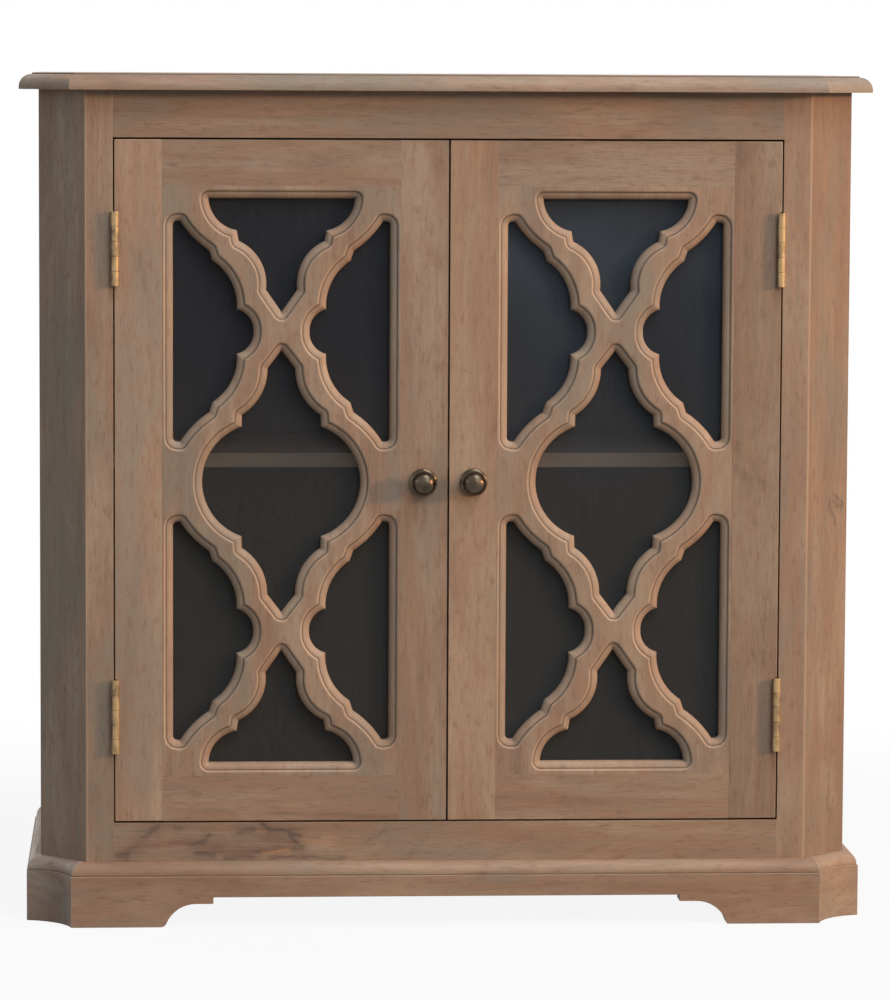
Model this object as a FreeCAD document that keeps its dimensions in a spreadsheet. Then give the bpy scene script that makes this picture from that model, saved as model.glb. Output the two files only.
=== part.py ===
import FreeCAD, Part
import math
import os

import Sketcher
from FreeCAD import Vector

# A glazed sideboard with canted front corners, a coved bracket plinth and two doors.
# Each door holds a carved ogee lattice in front of its glass.
# Millimetres. +Z is up, +Y runs from the doors to the back, and the origin is on
# the floor under the middle of the whole piece.

SIZES = {
    # Whole body, from the face of the front frame to the back
    "height": 880.0,
    "body_width": 843.0,
    "body_depth": 382.0,
    "body_cant": 48.25,
    "board": 20.0,
    # Front frame
    "stile_face": 28.25,
    "top_rail_height": 48.4,
    "bottom_rail_height": 40.4,
    "tenon_length": 15.0,
    "tenon_thickness": 8.0,
    "tenon_shoulder": 8.0,
    # Top board
    "top_thickness": 17.0,
    "top_front_overhang": 18.0,
    "top_side_overhang": 20.0,
    "top_cant": 52.5,
    "top_round": 13.0,
    "top_quirk": 1.5,
    "top_quirk_inset": 13.5,
    # Plinth
    "plinth_height": 66.6,
    "plinth_board": 24.0,
    "plinth_overhang": 14.5,
    "plinth_cant": 47.0,
    "cove_depth": 10.0,
    "plinth_moulding": 13.6,
    "plinth_round": 12.0,
    "plinth_quirk": 1.5,
    "foot_width": 96.8,
    "bracket_sweep": 32.0,
    "bracket_rise": 24.2,
    "bracket_flat": 18.0,
    "apron_rise": 31.0,
    "glue_block": 30.0,
    "floor_clearance": 2.0,
    # Inside of the body
    "rebate_depth": 8.0,
    "rebate_width": 8.0,
    "back_thickness": 6.0,
    "back_play": 0.3,
    "floor_thickness": 16.0,
    "bearer": 20.0,
    "back_rail_height": 40.0,
    "top_cleat": 20.0,
    "shelf_top": 486.0,
    "shelf_thickness": 15.0,
    "shelf_setback": 62.0,
    "shelf_play": 0.5,
    "shelf_cleat": 18.0,
    "shelf_cleat_setback": 10.0,
    # Doors
    "door_hinge_gap": 1.5,
    "door_centre_gap": 2.0,
    "door_top_gap": 2.0,
    "door_bottom_gap": 2.0,
    "door_stile": 49.0,
    "door_rail": 47.0,
    "groove_setback": 4.0,
    "groove_width": 6.0,
    "groove_depth": 8.0,
    "groove_play": 0.1,
    # Lattice, glass and beads
    "lattice_thickness": 12.0,
    "lattice_quirk": 1.5,
    "lattice_round_width": 8.5,
    "lattice_round_depth": 7.0,
    "chord_sag": 0.95,
    "glass_thickness": 3.0,
    "glass_play": 0.5,
    "bead_width": 8.0,
    "bead_thickness": 4.7,
    # Hinges
    "leaf_height": 76.4,
    "leaf_thickness": 2.0,
    "leaf_reach": 18.0,
    "leaf_setback": 0.2,
    "mortise_depth": 3.0,
    "mortise_play": 0.3,
    "barrel_radius": 4.0,
    "barrel_out": 4.2,
    "barrel_side": 0.75,
    "knuckle_gap": 0.3,
    "pin_radius": 1.8,
    "pin_play": 0.03,
    "lower_hinge_inset": 109.0,
    "upper_hinge_inset": 111.6,
    # Knobs
    "knob_reach": 26.0,
    "knob_inset": 25.0,
    "knob_radius": 12.5,
    "knob_crown": 8.5,
    "knob_edge": 4.0,
    "knob_neck_radius": 6.0,
    "knob_flange_radius": 14.3,
    "knob_flange_edge": 3.0,
    "stud_radius": 2.0,
    "stud_play": 0.1,
    "stud_end": 4.0,
    # Catches
    "catch_batten_height": 20.0,
    "catch_batten_depth": 18.0,
    "catch_inset": 20.0,
    "catch_length": 40.0,
    "catch_drop": 16.0,
    "catch_gap": 0.3,
    "strike_thickness": 1.5,
    "strike_height": 12.0,
    # How far a cutting shape runs past what it cuts
    "overrun": 5.0,
}

doc = FreeCAD.newDocument("Sideboard")
sheet = doc.addObject("Spreadsheet::Sheet", "Sizes")
for row, (name, number) in enumerate(SIZES.items(), start=1):
    sheet.set("A" + str(row), name)
    sheet.set("B" + str(row), str(number))
    sheet.setAlias("B" + str(row), name)
doc.recompute()


class Size:
    """A length that keeps its number and its formula over the cells of the sheet."""

    def __init__(self, number, formula):
        self.number = number
        self.formula = formula

    def joined(self, sign, other, number):
        formula = other.formula if isinstance(other, Size) else repr(float(other))
        return Size(number, "(" + self.formula + " " + sign + " " + formula + ")")

    def __add__(self, other):
        return self.joined("+", other, self.number + number_of(other))

    def __sub__(self, other):
        return self.joined("-", other, self.number - number_of(other))

    def __mul__(self, other):
        return self.joined("*", other, self.number * number_of(other))

    def __truediv__(self, other):
        return self.joined("/", other, self.number / number_of(other))

    def __neg__(self):
        return Size(-self.number, "(0 - " + self.formula + ")")


class Cells:
    """The sheet's cells as sizes, by their aliases."""

    def __getattr__(self, name):
        return Size(float(sheet.get(name)), "Sizes." + name)


def number_of(value):
    return value.number if isinstance(value, Size) else float(value)


D = Cells()
ZERO = Size(0.0, "0")
# Two places nearer than this are the same place
SAME_PLACE = 1e-6
pieces = []


def same(place, size):
    return abs(place - number_of(size)) < SAME_PLACE


# Places that many pieces share, measured back from the face of the front frame
HALF_BODY = D.body_width / 2
FRONT_CORNER = HALF_BODY - D.body_cant
HALF_OPENING = FRONT_CORNER - D.stile_face
BODY_TOP = D.height - D.top_thickness
OPENING_TOP = BODY_TOP - D.top_rail_height
FLOOR_TOP = D.plinth_height + D.bottom_rail_height
INSIDE = HALF_BODY - D.board
BACK_FACE = D.body_depth - D.rebate_depth
FACE = (D.knob_reach - D.body_depth) / 2
# Half of the body's 45 degree turn is the mitre between its boards
HALF_CANT_TURN = math.tan(math.radians(45.0 / 2))
INNER_CORNER = FRONT_CORNER - D.board * HALF_CANT_TURN
INNER_CANT_END = D.body_cant + D.board * HALF_CANT_TURN


def bind(item, path, size):
    """Ties one property of an object to the sheet."""
    item.setExpression(path, size.formula)


def box(name, x, y, z):
    """A square-cut board between two places along each axis."""
    piece = doc.addObject("Part::Box", name)
    bind(piece, "Length", x[1] - x[0])
    bind(piece, "Width", y[1] - y[0])
    bind(piece, "Height", z[1] - z[0])
    bind(piece, "Placement.Base.x", x[0])
    bind(piece, "Placement.Base.y", y[0] + FACE)
    bind(piece, "Placement.Base.z", z[0])
    return piece


def compound(name, items):
    group = doc.addObject("Part::Compound", name)
    group.Links = items
    return group


def fused(name, items):
    joint = doc.addObject("Part::MultiFuse", name)
    joint.Shapes = items
    return joint


def cut(name, base, tools):
    piece = doc.addObject("Part::Cut", name)
    piece.Base = base
    piece.Tool = tools[0] if len(tools) == 1 else compound(name + "_tools", tools)
    return piece


def rod(name, radius, centre, axis, length):
    """A round bar from a centre along +Y or +Z."""
    piece = doc.addObject("Part::Cylinder", name)
    bind(piece, "Radius", radius)
    bind(piece, "Height", length)
    if axis == "Y":
        piece.Placement.Rotation = FreeCAD.Rotation(Vector(1, 0, 0), -90)
    bind(piece, "Placement.Base.x", centre[0])
    bind(piece, "Placement.Base.y", centre[1] + FACE)
    bind(piece, "Placement.Base.z", centre[2])
    return piece


def name_constraint(sketch, constraint, name, size):
    number = sketch.addConstraint(constraint)
    sketch.renameConstraint(number, name)
    bind(sketch, "Constraints." + name, size)


def outline(body, role, offset, corners):
    """A closed sketch on one of the body's planes, with each corner bound to the sheet.

    A corner is (x, y), or (x, y, radius, turn) where the edge after it is an arc
    that turns left (1) or right (-1).
    """
    sketch = body.newObject("Sketcher::SketchObject", body.Name + "_outline")
    plane = [item for item in body.Origin.OriginFeatures if item.Role == role][0]
    sketch.AttachmentSupport = [(plane, "")]
    sketch.MapMode = "FlatFace"
    bind(sketch, "AttachmentOffset.Base.z", offset)
    ends = []
    for index, corner in enumerate(corners):
        after = corners[(index + 1) % len(corners)]
        start = Vector(corner[0].number, corner[1].number, 0)
        end = Vector(after[0].number, after[1].number, 0)
        if len(corner) == 2:
            sketch.addGeometry(Part.LineSegment(start, end), False)
            ends.append((1, 2))
            continue
        radius, turn = corner[2], corner[3]
        run = end - start
        rise = math.sqrt(radius.number ** 2 - (run.Length / 2) ** 2)
        left = Vector(-run.y, run.x, 0).normalize()
        centre = (start + end) / 2 + left * (rise * turn)
        first, last = (start, end) if turn > 0 else (end, start)
        begin = math.atan2(first.y - centre.y, first.x - centre.x)
        finish = math.atan2(last.y - centre.y, last.x - centre.x)
        circle = Part.Circle(centre, Vector(0, 0, 1), radius.number)
        sketch.addGeometry(Part.ArcOfCircle(circle, begin, finish), False)
        ends.append((1, 2) if turn > 0 else (2, 1))
    for index, corner in enumerate(corners):
        following = (index + 1) % len(corners)
        joined = (index, ends[index][1], following, ends[following][0])
        sketch.addConstraint(Sketcher.Constraint("Coincident", *joined))
        if len(corner) == 4:
            held = Sketcher.Constraint("Radius", index, corner[2].number)
            name_constraint(sketch, held, "radius" + str(index), corner[2])
        for kind, mark, place in (("DistanceX", "x", corner[0]), ("DistanceY", "y", corner[1])):
            where = (-1, 1, index, ends[index][0], place.number)
            held = Sketcher.Constraint(kind, *where)
            name_constraint(sketch, held, mark + str(index), place)
    return sketch


def padded(body, sketch, length):
    pad = body.newObject("PartDesign::Pad", body.Name + "_pad")
    pad.Profile = sketch
    bind(pad, "Length", length)
    return pad


def plan(corners):
    """Corners given back from the frame's face, moved into the part's own frame."""
    return [(corner[0], corner[1] + FACE) + tuple(corner[2:]) for corner in corners]


def plan_board(name, corners, low, high):
    """A board drawn from above and padded upwards."""
    body = doc.addObject("PartDesign::Body", name)
    padded(body, outline(body, "XY_Plane", low, plan(corners)), high - low)
    return body


def rounded(body, feature, radius, is_chosen):
    """Rounds over the edges of the last feature whose two ends pass a test."""
    doc.recompute()
    chosen = []
    for number, edge in enumerate(feature.Shape.Edges, start=1):
        if is_chosen(edge.Vertexes[0].Point, edge.Vertexes[-1].Point):
            chosen.append("Edge" + str(number))
    fillet = body.newObject("PartDesign::Fillet", body.Name + "_round")
    fillet.Base = (feature, chosen)
    bind(fillet, "Radius", radius)
    return fillet


def pocketed(body, role, offset, corners):
    """Cuts an outline right through a body, both ways from its plane."""
    doc.recompute()
    before = body.Shape.Volume
    sketch = outline(body, role, offset, corners)
    pocket = body.newObject("PartDesign::Pocket", body.Name + "_pocket")
    pocket.Profile = sketch
    pocket.Type = "ThroughAll"
    pocket.Midplane = True
    doc.recompute()
    if body.Shape.Volume >= before:
        raise ValueError(body.Name + " was not cut")
    return pocket


def turned(name, centre, role, corners):
    """A piece turned about its own upright or front-to-back axis."""
    body = doc.addObject("PartDesign::Body", name)
    bind(body, "Placement.Base.x", centre[0])
    bind(body, "Placement.Base.y", centre[1] + FACE)
    bind(body, "Placement.Base.z", centre[2])
    sketch = outline(body, role, ZERO, corners)
    spin = body.newObject("PartDesign::Revolution", name + "_turning")
    spin.Profile = sketch
    spin.ReferenceAxis = (sketch, ["V_Axis"])
    spin.Angle = 360.0
    return body


def keep(piece):
    pieces.append(piece)
    return piece


def mirrored(piece):
    """The right-hand twin of a left-hand piece."""
    twin = doc.addObject("Part::Mirroring", piece.Label.replace("left", "right"))
    twin.Source = piece
    twin.Normal = Vector(1, 0, 0)
    return twin


def keep_pair(piece):
    keep(piece)
    return keep(mirrored(piece))


# Front frame: two rails tenoned into two stiles, whose outer edges are mitred
RAIL_SPANS = {
    "frame_top_rail": (OPENING_TOP, BODY_TOP),
    "frame_bottom_rail": (D.plinth_height, FLOOR_TOP),
}
TENON_FRONT = (D.board - D.tenon_thickness) / 2
for name, (low, high) in RAIL_SPANS.items():
    rail = box(name + "_blank", (-HALF_OPENING, HALF_OPENING), (ZERO, D.board), (low, high))
    tenon_end = HALF_OPENING + D.tenon_length
    tenon_x = (-tenon_end, tenon_end)
    tenon_y = (TENON_FRONT, TENON_FRONT + D.tenon_thickness)
    tenon_z = (low + D.tenon_shoulder, high - D.tenon_shoulder)
    tenon = box(name + "_tenon", tenon_x, tenon_y, tenon_z)
    keep(fused(name, [rail, tenon]))

stile_corners = [
    (-HALF_OPENING, ZERO),
    (-FRONT_CORNER, ZERO),
    (-INNER_CORNER, D.board),
    (-HALF_OPENING, D.board),
]
stile_blank = plan_board("stile_blank", stile_corners, D.plinth_height, BODY_TOP)
mortises = [doc.getObject(name + "_tenon") for name in RAIL_SPANS]
keep_pair(cut("frame_stile_left", stile_blank, mortises))

# Canted corner boards and sides, one mitre carried round from board to board
corner_corners = [
    (-FRONT_CORNER, ZERO),
    (-HALF_BODY, D.body_cant),
    (-INSIDE, INNER_CANT_END),
    (-INNER_CORNER, D.board),
]
keep_pair(plan_board("corner_board_left", corner_corners, D.plinth_height, BODY_TOP))

REBATE_SIDE = INSIDE + D.rebate_width
side_corners = [
    (-HALF_BODY, D.body_cant),
    (-HALF_BODY, D.body_depth),
    (-REBATE_SIDE, D.body_depth),
    (-REBATE_SIDE, BACK_FACE),
    (-INSIDE, BACK_FACE),
    (-INSIDE, INNER_CANT_END),
]
keep_pair(plan_board("side_panel_left", side_corners, D.plinth_height, BODY_TOP))

# Back: a thin panel in the rebates, with a rail behind the top edge
panel_edge = REBATE_SIDE - D.back_play
panel_y = (BACK_FACE, BACK_FACE + D.back_thickness)
keep(box("back_panel", (-panel_edge, panel_edge), panel_y, (D.plinth_height, BODY_TOP)))
back_rail_y = (BACK_FACE - D.board, BACK_FACE)
back_rail_z = (BODY_TOP - D.back_rail_height, BODY_TOP)
keep(box("back_top_rail", (-INSIDE, INSIDE), back_rail_y, back_rail_z))

# Floor, notched to the canted corners, on bearers that stand on the plinth
FLOOR_UNDER = FLOOR_TOP - D.floor_thickness
floor_corners = [
    (-INNER_CORNER, D.board),
    (INNER_CORNER, D.board),
    (INSIDE, INNER_CANT_END),
    (INSIDE, BACK_FACE),
    (-INSIDE, BACK_FACE),
    (-INSIDE, INNER_CANT_END),
]
keep(plan_board("floor_board", floor_corners, FLOOR_UNDER, FLOOR_TOP))
bearer_z = (D.plinth_height, FLOOR_UNDER)
bearer_in = INSIDE - D.bearer
side_bearer_y = (INNER_CANT_END, BACK_FACE)
front_bearer_y = (D.board, D.board + D.bearer)
back_bearer_y = (BACK_FACE - D.bearer, BACK_FACE)
floor_bearers = [
    box("bearer_left", (-INSIDE, -bearer_in), side_bearer_y, bearer_z),
    box("bearer_right", (bearer_in, INSIDE), side_bearer_y, bearer_z),
    box("bearer_front", (-INNER_CORNER, INNER_CORNER), front_bearer_y, bearer_z),
    box("bearer_back", (-bearer_in, bearer_in), back_bearer_y, bearer_z),
]
keep(compound("floor_bearers", floor_bearers))

# One loose shelf on two cleats
SHELF_UNDER = D.shelf_top - D.shelf_thickness
shelf_edge = INSIDE - D.shelf_play
shelf_y = (D.shelf_setback, BACK_FACE)
keep(box("shelf", (-shelf_edge, shelf_edge), shelf_y, (SHELF_UNDER, D.shelf_top)))
cleat_x = (-INSIDE, D.shelf_cleat - INSIDE)
cleat_y = (D.shelf_setback + D.shelf_cleat_setback, BACK_FACE)
cleat_z = (SHELF_UNDER - D.shelf_cleat, SHELF_UNDER)
keep_pair(box("shelf_cleat_left", cleat_x, cleat_y, cleat_z))

# Cleats that hold the top board down
top_cleat_x = (-INSIDE, D.top_cleat - INSIDE)
top_cleat_y = (INNER_CANT_END, BACK_FACE - D.board)
top_cleat_z = (BODY_TOP - D.top_cleat, BODY_TOP)
keep_pair(box("top_cleat_left", top_cleat_x, top_cleat_y, top_cleat_z))


def top_corners(inset):
    """The top board's plan, drawn in from its moulded edges but not from its back."""
    edge = HALF_BODY + D.top_side_overhang - inset
    front = inset - D.top_front_overhang
    shift = inset * HALF_CANT_TURN
    front_corner = HALF_BODY + D.top_side_overhang - D.top_cant - shift
    side_corner = D.top_cant - D.top_front_overhang + shift
    return [
        (-edge, D.body_depth),
        (-edge, side_corner),
        (-front_corner, front),
        (front_corner, front),
        (edge, side_corner),
        (edge, D.body_depth),
    ]


# Top board: a rounded edge below a small square step
top_board = doc.addObject("PartDesign::Body", "top_board")
STEP_HEIGHT = D.height - D.top_quirk
top_sketch = outline(top_board, "XY_Plane", BODY_TOP, plan(top_corners(ZERO)))
top_slab = padded(top_board, top_sketch, STEP_HEIGHT - BODY_TOP)
TOP_BACK = D.body_depth + FACE


def is_moulded_top_edge(start, end):
    at_back = same(start.y, TOP_BACK) and same(end.y, TOP_BACK)
    return same(start.z, STEP_HEIGHT) and same(end.z, STEP_HEIGHT) and not at_back


rounded(top_board, top_slab, D.top_round, is_moulded_top_edge)
doc.recompute()
step_plan = plan(top_corners(D.top_quirk_inset))
padded(top_board, outline(top_board, "XY_Plane", STEP_HEIGHT, step_plan), D.top_quirk)
keep(top_board)

# Plinth: moulded boards mitred to coved corner blocks, with bracket feet
PLINTH_EDGE = HALF_BODY + D.plinth_overhang
PLINTH_CORNER = PLINTH_EDGE - D.plinth_cant
PLINTH_FACE = -D.plinth_overhang
SIDE_START = D.plinth_cant - D.plinth_overhang
MOULDING_FOOT = D.plinth_height - D.plinth_moulding
COVE_RADIUS = (D.plinth_cant * D.plinth_cant / 2 + D.cove_depth * D.cove_depth) / (D.cove_depth * 2)
cove_chord = D.plinth_cant.number * math.sqrt(2)
cove_half_turn = 2 * math.atan(2 * D.cove_depth.number / cove_chord)
COVE_MITRE = math.tan((math.radians(45.0) + cove_half_turn) / 2)


def front_corners(inset):
    edge = PLINTH_CORNER - inset * COVE_MITRE
    inner = PLINTH_CORNER - D.plinth_board * COVE_MITRE
    return [
        (-edge, PLINTH_FACE + inset),
        (edge, PLINTH_FACE + inset),
        (inner, PLINTH_FACE + D.plinth_board),
        (-inner, PLINTH_FACE + D.plinth_board),
    ]


def side_board_corners(inset):
    return [
        (inset - PLINTH_EDGE, SIDE_START + inset * COVE_MITRE),
        (D.plinth_board - PLINTH_EDGE, SIDE_START + D.plinth_board * COVE_MITRE),
        (D.plinth_board - PLINTH_EDGE, D.body_depth),
        (inset - PLINTH_EDGE, D.body_depth),
    ]


def cove_corners(inset):
    return [
        (inset * COVE_MITRE - PLINTH_CORNER, PLINTH_FACE + inset, COVE_RADIUS + inset, 1),
        (inset - PLINTH_EDGE, SIDE_START + inset * COVE_MITRE),
        (D.plinth_board - PLINTH_EDGE, SIDE_START + D.plinth_board * COVE_MITRE),
        (D.plinth_board * COVE_MITRE - PLINTH_CORNER, PLINTH_FACE + D.plinth_board),
    ]


def moulded_plinth(name, corners_at, is_face):
    """A plinth board whose top is set back by a quirk and rounded over."""
    body = doc.addObject("PartDesign::Body", name)
    foot = outline(body, "XY_Plane", ZERO, plan(corners_at(ZERO)))
    padded(body, foot, MOULDING_FOOT)
    doc.recompute()
    head = outline(body, "XY_Plane", MOULDING_FOOT, plan(corners_at(D.plinth_quirk)))
    feature = padded(body, head, D.plinth_moulding)

    def is_chosen(start, end):
        ends = (start, end)
        return all(same(point.z, D.plinth_height) and is_face(point) for point in ends)

    rounded(body, feature, D.plinth_round, is_chosen)
    return body


def bracket_corners(start, end):
    """The cut-out between two bracket feet, from floor to apron and back."""
    rise = D.bracket_rise
    sweep = D.bracket_sweep
    radius = (rise * rise + sweep * sweep) / (rise * 2)
    shoulder = sweep + D.bracket_flat
    return [
        (start, -D.overrun),
        (start, ZERO, radius, -1),
        (start + sweep, rise),
        (start + shoulder, rise),
        (start + shoulder, D.apron_rise),
        (end - shoulder, D.apron_rise),
        (end - shoulder, rise),
        (end - sweep, rise, radius, -1),
        (end, ZERO),
        (end, -D.overrun),
    ]


FRONT_PLANE = PLINTH_FACE + D.plinth_quirk + FACE
plinth_front = moulded_plinth(
    "plinth_front", front_corners, lambda point: same(point.y, FRONT_PLANE)
)
foot_end = PLINTH_CORNER - D.foot_width
pocketed(plinth_front, "XZ_Plane", -FACE, bracket_corners(-foot_end, foot_end))
keep(plinth_front)

SIDE_PLANE = D.plinth_quirk - PLINTH_EDGE
plinth_side = moulded_plinth(
    "plinth_side_left", side_board_corners, lambda point: same(point.x, SIDE_PLANE)
)
side_gap_start = SIDE_START + D.foot_width + FACE
side_gap_end = D.body_depth - D.foot_width + FACE
pocketed(plinth_side, "YZ_Plane", -PLINTH_EDGE, bracket_corners(side_gap_start, side_gap_end))
keep_pair(plinth_side)

plinth_corner = moulded_plinth(
    "plinth_corner_left",
    cove_corners,
    lambda point: same(point.y, FRONT_PLANE) or same(point.x, SIDE_PLANE),
)
keep(compound("plinth_corners", [plinth_corner, mirrored(plinth_corner)]))

back_board_x = (D.plinth_board - PLINTH_EDGE, PLINTH_EDGE - D.plinth_board)
back_board_y = (D.body_depth - D.plinth_board, D.body_depth)
keep(box("plinth_back", back_board_x, back_board_y, (D.apron_rise, D.plinth_height)))

# Glue blocks stiffen the four corners of the plinth
block_x = D.plinth_board - PLINTH_EDGE
block_y = SIDE_START + D.plinth_board * COVE_MITRE
block_front_x = D.plinth_board * COVE_MITRE - PLINTH_CORNER
block_front_y = PLINTH_FACE + D.plinth_board
front_block_corners = [
    (block_front_x, block_front_y),
    (block_x, block_y),
    (block_x, block_y + D.glue_block),
    (block_front_x + D.glue_block, block_front_y),
]
front_block = plan_board(
    "front_block_left", front_block_corners, D.floor_clearance, D.plinth_height
)
back_block_y = (D.body_depth - D.plinth_board - D.glue_block, D.body_depth - D.plinth_board)
back_block = box(
    "back_block_left",
    (block_x, block_x + D.glue_block),
    back_block_y,
    (D.floor_clearance, D.plinth_height),
)
glue_blocks = [front_block, mirrored(front_block), back_block, mirrored(back_block)]
keep(compound("plinth_glue_blocks", glue_blocks))

# Doors, drawn for the left one
DOOR_OUT = D.door_hinge_gap - HALF_OPENING
DOOR_IN = -D.door_centre_gap / 2
DOOR_LOW = FLOOR_TOP + D.door_bottom_gap
DOOR_HIGH = OPENING_TOP - D.door_top_gap
PANE_LEFT = DOOR_OUT + D.door_stile
PANE_RIGHT = DOOR_IN - D.door_stile
PANE_LOW = DOOR_LOW + D.door_rail
PANE_HIGH = DOOR_HIGH - D.door_rail
GROOVE_Y = (D.groove_setback, D.groove_setback + D.groove_width)
TONGUE_Y = (GROOVE_Y[0] + D.groove_play / 2, GROOVE_Y[1] - D.groove_play / 2)
TONGUE = D.groove_depth - D.groove_play
HINGE_HEIGHTS = {
    "lower": DOOR_LOW + D.lower_hinge_inset,
    "upper": DOOR_HIGH - D.upper_hinge_inset,
}
AXIS_X = DOOR_OUT + D.barrel_side
AXIS_Y = -D.barrel_out
KNOB_X = DOOR_IN - D.knob_inset
KNOB_Z = (DOOR_LOW + DOOR_HIGH) / 2

# Stiles, grooved along their inner edges and let in for the hinge leaves
door_z = (DOOR_LOW, DOOR_HIGH)
hinge_stile = box("hinge_stile_blank", (DOOR_OUT, PANE_LEFT), (ZERO, D.board), door_z)
stile_cuts = [box("hinge_stile_groove", (PANE_LEFT - D.groove_depth, PANE_LEFT), GROOVE_Y, door_z)]
for place, middle in HINGE_HEIGHTS.items():
    reach = D.leaf_height / 2 + D.mortise_play
    mortise_x = (DOOR_OUT - D.overrun, DOOR_OUT + D.mortise_depth)
    mortise_y = (-D.overrun, D.leaf_reach + D.mortise_play)
    mortise_z = (middle - reach, middle + reach)
    stile_cuts.append(box("leaf_mortise_" + place, mortise_x, mortise_y, mortise_z))
keep_pair(cut("left_door_hinge_stile", hinge_stile, stile_cuts))

meeting_stile = box("meeting_stile_blank", (PANE_RIGHT, DOOR_IN), (ZERO, D.board), door_z)
meeting_groove_x = (PANE_RIGHT, PANE_RIGHT + D.groove_depth)
meeting_cuts = [
    box("meeting_stile_groove", meeting_groove_x, GROOVE_Y, door_z),
    rod(
        "meeting_stile_hole",
        D.stud_radius + D.stud_play,
        (KNOB_X, -D.overrun, KNOB_Z),
        "Y",
        D.board + D.overrun * 2,
    ),
]
keep_pair(cut("left_door_meeting_stile", meeting_stile, meeting_cuts))

# Rails, with stub tenons that fill the stiles' grooves
RAIL_ENDS = (PANE_LEFT - TONGUE, PANE_RIGHT + TONGUE)
door_rails = {
    "left_door_top_rail": ((PANE_HIGH, DOOR_HIGH), (PANE_HIGH, PANE_HIGH + D.groove_depth)),
    "left_door_bottom_rail": ((DOOR_LOW, PANE_LOW), (PANE_LOW - D.groove_depth, PANE_LOW)),
}
for name, (span, groove) in door_rails.items():
    rail = box(name + "_blank", (PANE_LEFT, PANE_RIGHT), (ZERO, D.board), span)
    stubs = box(name + "_stubs", RAIL_ENDS, TONGUE_Y, span)
    groove_tool = box(name + "_groove", RAIL_ENDS, GROOVE_Y, groove)
    keep_pair(cut(name, fused(name + "_whole", [rail, stubs]), [groove_tool]))

# The ogee lattice, as shares of the panel's half width and half height.
# A step is the end of a straight edge, or the middle and the end of an arc.
LANTERN_SHARES = [
    [(0.0000, 0.4446)],
    [(0.0262, 0.4406), (0.0409, 0.4281)],
    [(0.1170, 0.3839)],
    [(0.1800, 0.2887), (0.3313, 0.2264)],
    [(0.3354, 0.1862)],
    [(0.5755, 0.1143), (0.6667, 0.0000)],
]
END_HOLE_SHARES = [
    [(0.0000, 0.5741)],
    [(0.0245, 0.5781), (0.0409, 0.5922)],
    [(0.1309, 0.6496)],
    [(0.1840, 0.7513), (0.3599, 0.8136)],
    [(0.3763, 0.8497)],
    [(0.5481, 0.8891), (0.6135, 0.9572)],
    [(0.0000, 0.9572)],
]
SIDE_HOLE_SHARES = [
    [(0.2372, 0.5085)],
    [(0.2740, 0.5578), (0.3763, 0.5840)],
    [(0.4213, 0.6759), (0.5808, 0.7480)],
    [(0.6094, 0.7825)],
    [(0.7362, 0.8235), (0.8507, 0.8809)],
    [(0.8834, 0.8809)],
    [(0.9121, 0.8629)],
    [(0.9121, 0.5085)],
]
CROSSING_SHARE = 0.5085
# The round moulding in two flat chamfers, as shares of its width and depth
ROUND_SHARES = [(1.0, 0.0), (0.32, 0.29), (0.0, 1.0)]
# Arcs are carved as chords that stray from the curve by no more than this
CHORD_SAG = D.chord_sag.number


def retraced(steps):
    """The same path walked from its end back to its start."""
    path = [[steps[-1][-1]]]
    for index in range(len(steps) - 1, 0, -1):
        path.append(steps[index][:-1] + [steps[index - 1][-1]])
    return path


def flipped(steps, across=1, up=1, about=0.0):
    return [[(u * across, about + (w - about) * up) for u, w in step] for step in steps]


def lattice_paths():
    """Seven closed outlines: the lantern, two end holes and four side holes."""
    quarter = LANTERN_SHARES
    right = quarter + retraced(flipped(quarter, up=-1))[1:]
    paths = [right + retraced(flipped(right, across=-1))[1:]]
    for up in (1, -1):
        half = flipped(END_HOLE_SHARES, up=up)
        paths.append(half + retraced(flipped(half, across=-1))[1:])
    side = retraced(flipped(SIDE_HOLE_SHARES, up=-1, about=CROSSING_SHARE)) + SIDE_HOLE_SHARES[1:]
    for across in (1, -1):
        for up in (1, -1):
            paths.append(flipped(side, across=across, up=up))
    return paths


def chords(start, middle, end):
    """The points after the start of an arc, evenly spaced along it."""
    arc = Part.Arc(start, middle, end).toShape()
    radius = arc.Curve.Radius
    longest = 2 * math.sqrt(2 * radius * CHORD_SAG - CHORD_SAG ** 2)
    count = math.ceil(arc.Length / longest)
    points = arc.discretize(Number=count + 1)
    if points[0].distanceToPoint(start) > points[-1].distanceToPoint(start):
        points.reverse()
    return points[1:]


def lattice_points(steps, width, height):
    """One outline in the door's plane, sized to the panel and walked clockwise."""
    places = [[Vector(u * width, 0, w * height) for u, w in step] for step in steps]
    points = [places[0][-1]]
    for step in places[1:]:
        if len(step) == 1:
            points.append(step[0])
        else:
            points.extend(chords(points[-1], step[0], step[1]))
    if same(points[-1].distanceToPoint(points[0]), ZERO):
        points.pop()
    following = points[1:] + points[:1]
    if sum(here.cross(after).y for here, after in zip(points, following)) < 0:
        points.reverse()
    return points


def ring(points, grown, depth):
    """The outline grown with each edge kept parallel, at a depth behind the face."""
    corners = []
    following = points[1:] + points[:1]
    for index, (point, after) in enumerate(zip(points, following)):
        arrival = (point - points[index - 1]).normalize()
        departure = (after - point).normalize()
        shift = Vector(-arrival.z - departure.z, 0, arrival.x + departure.x)
        shift = shift * (grown / (1 + arrival.dot(departure)))
        corners.append(point + shift + Vector(0, depth, 0))
    return corners


def polygon_face(corners):
    return Part.Face(Part.makePolygon(corners + corners[:1]))


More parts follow.
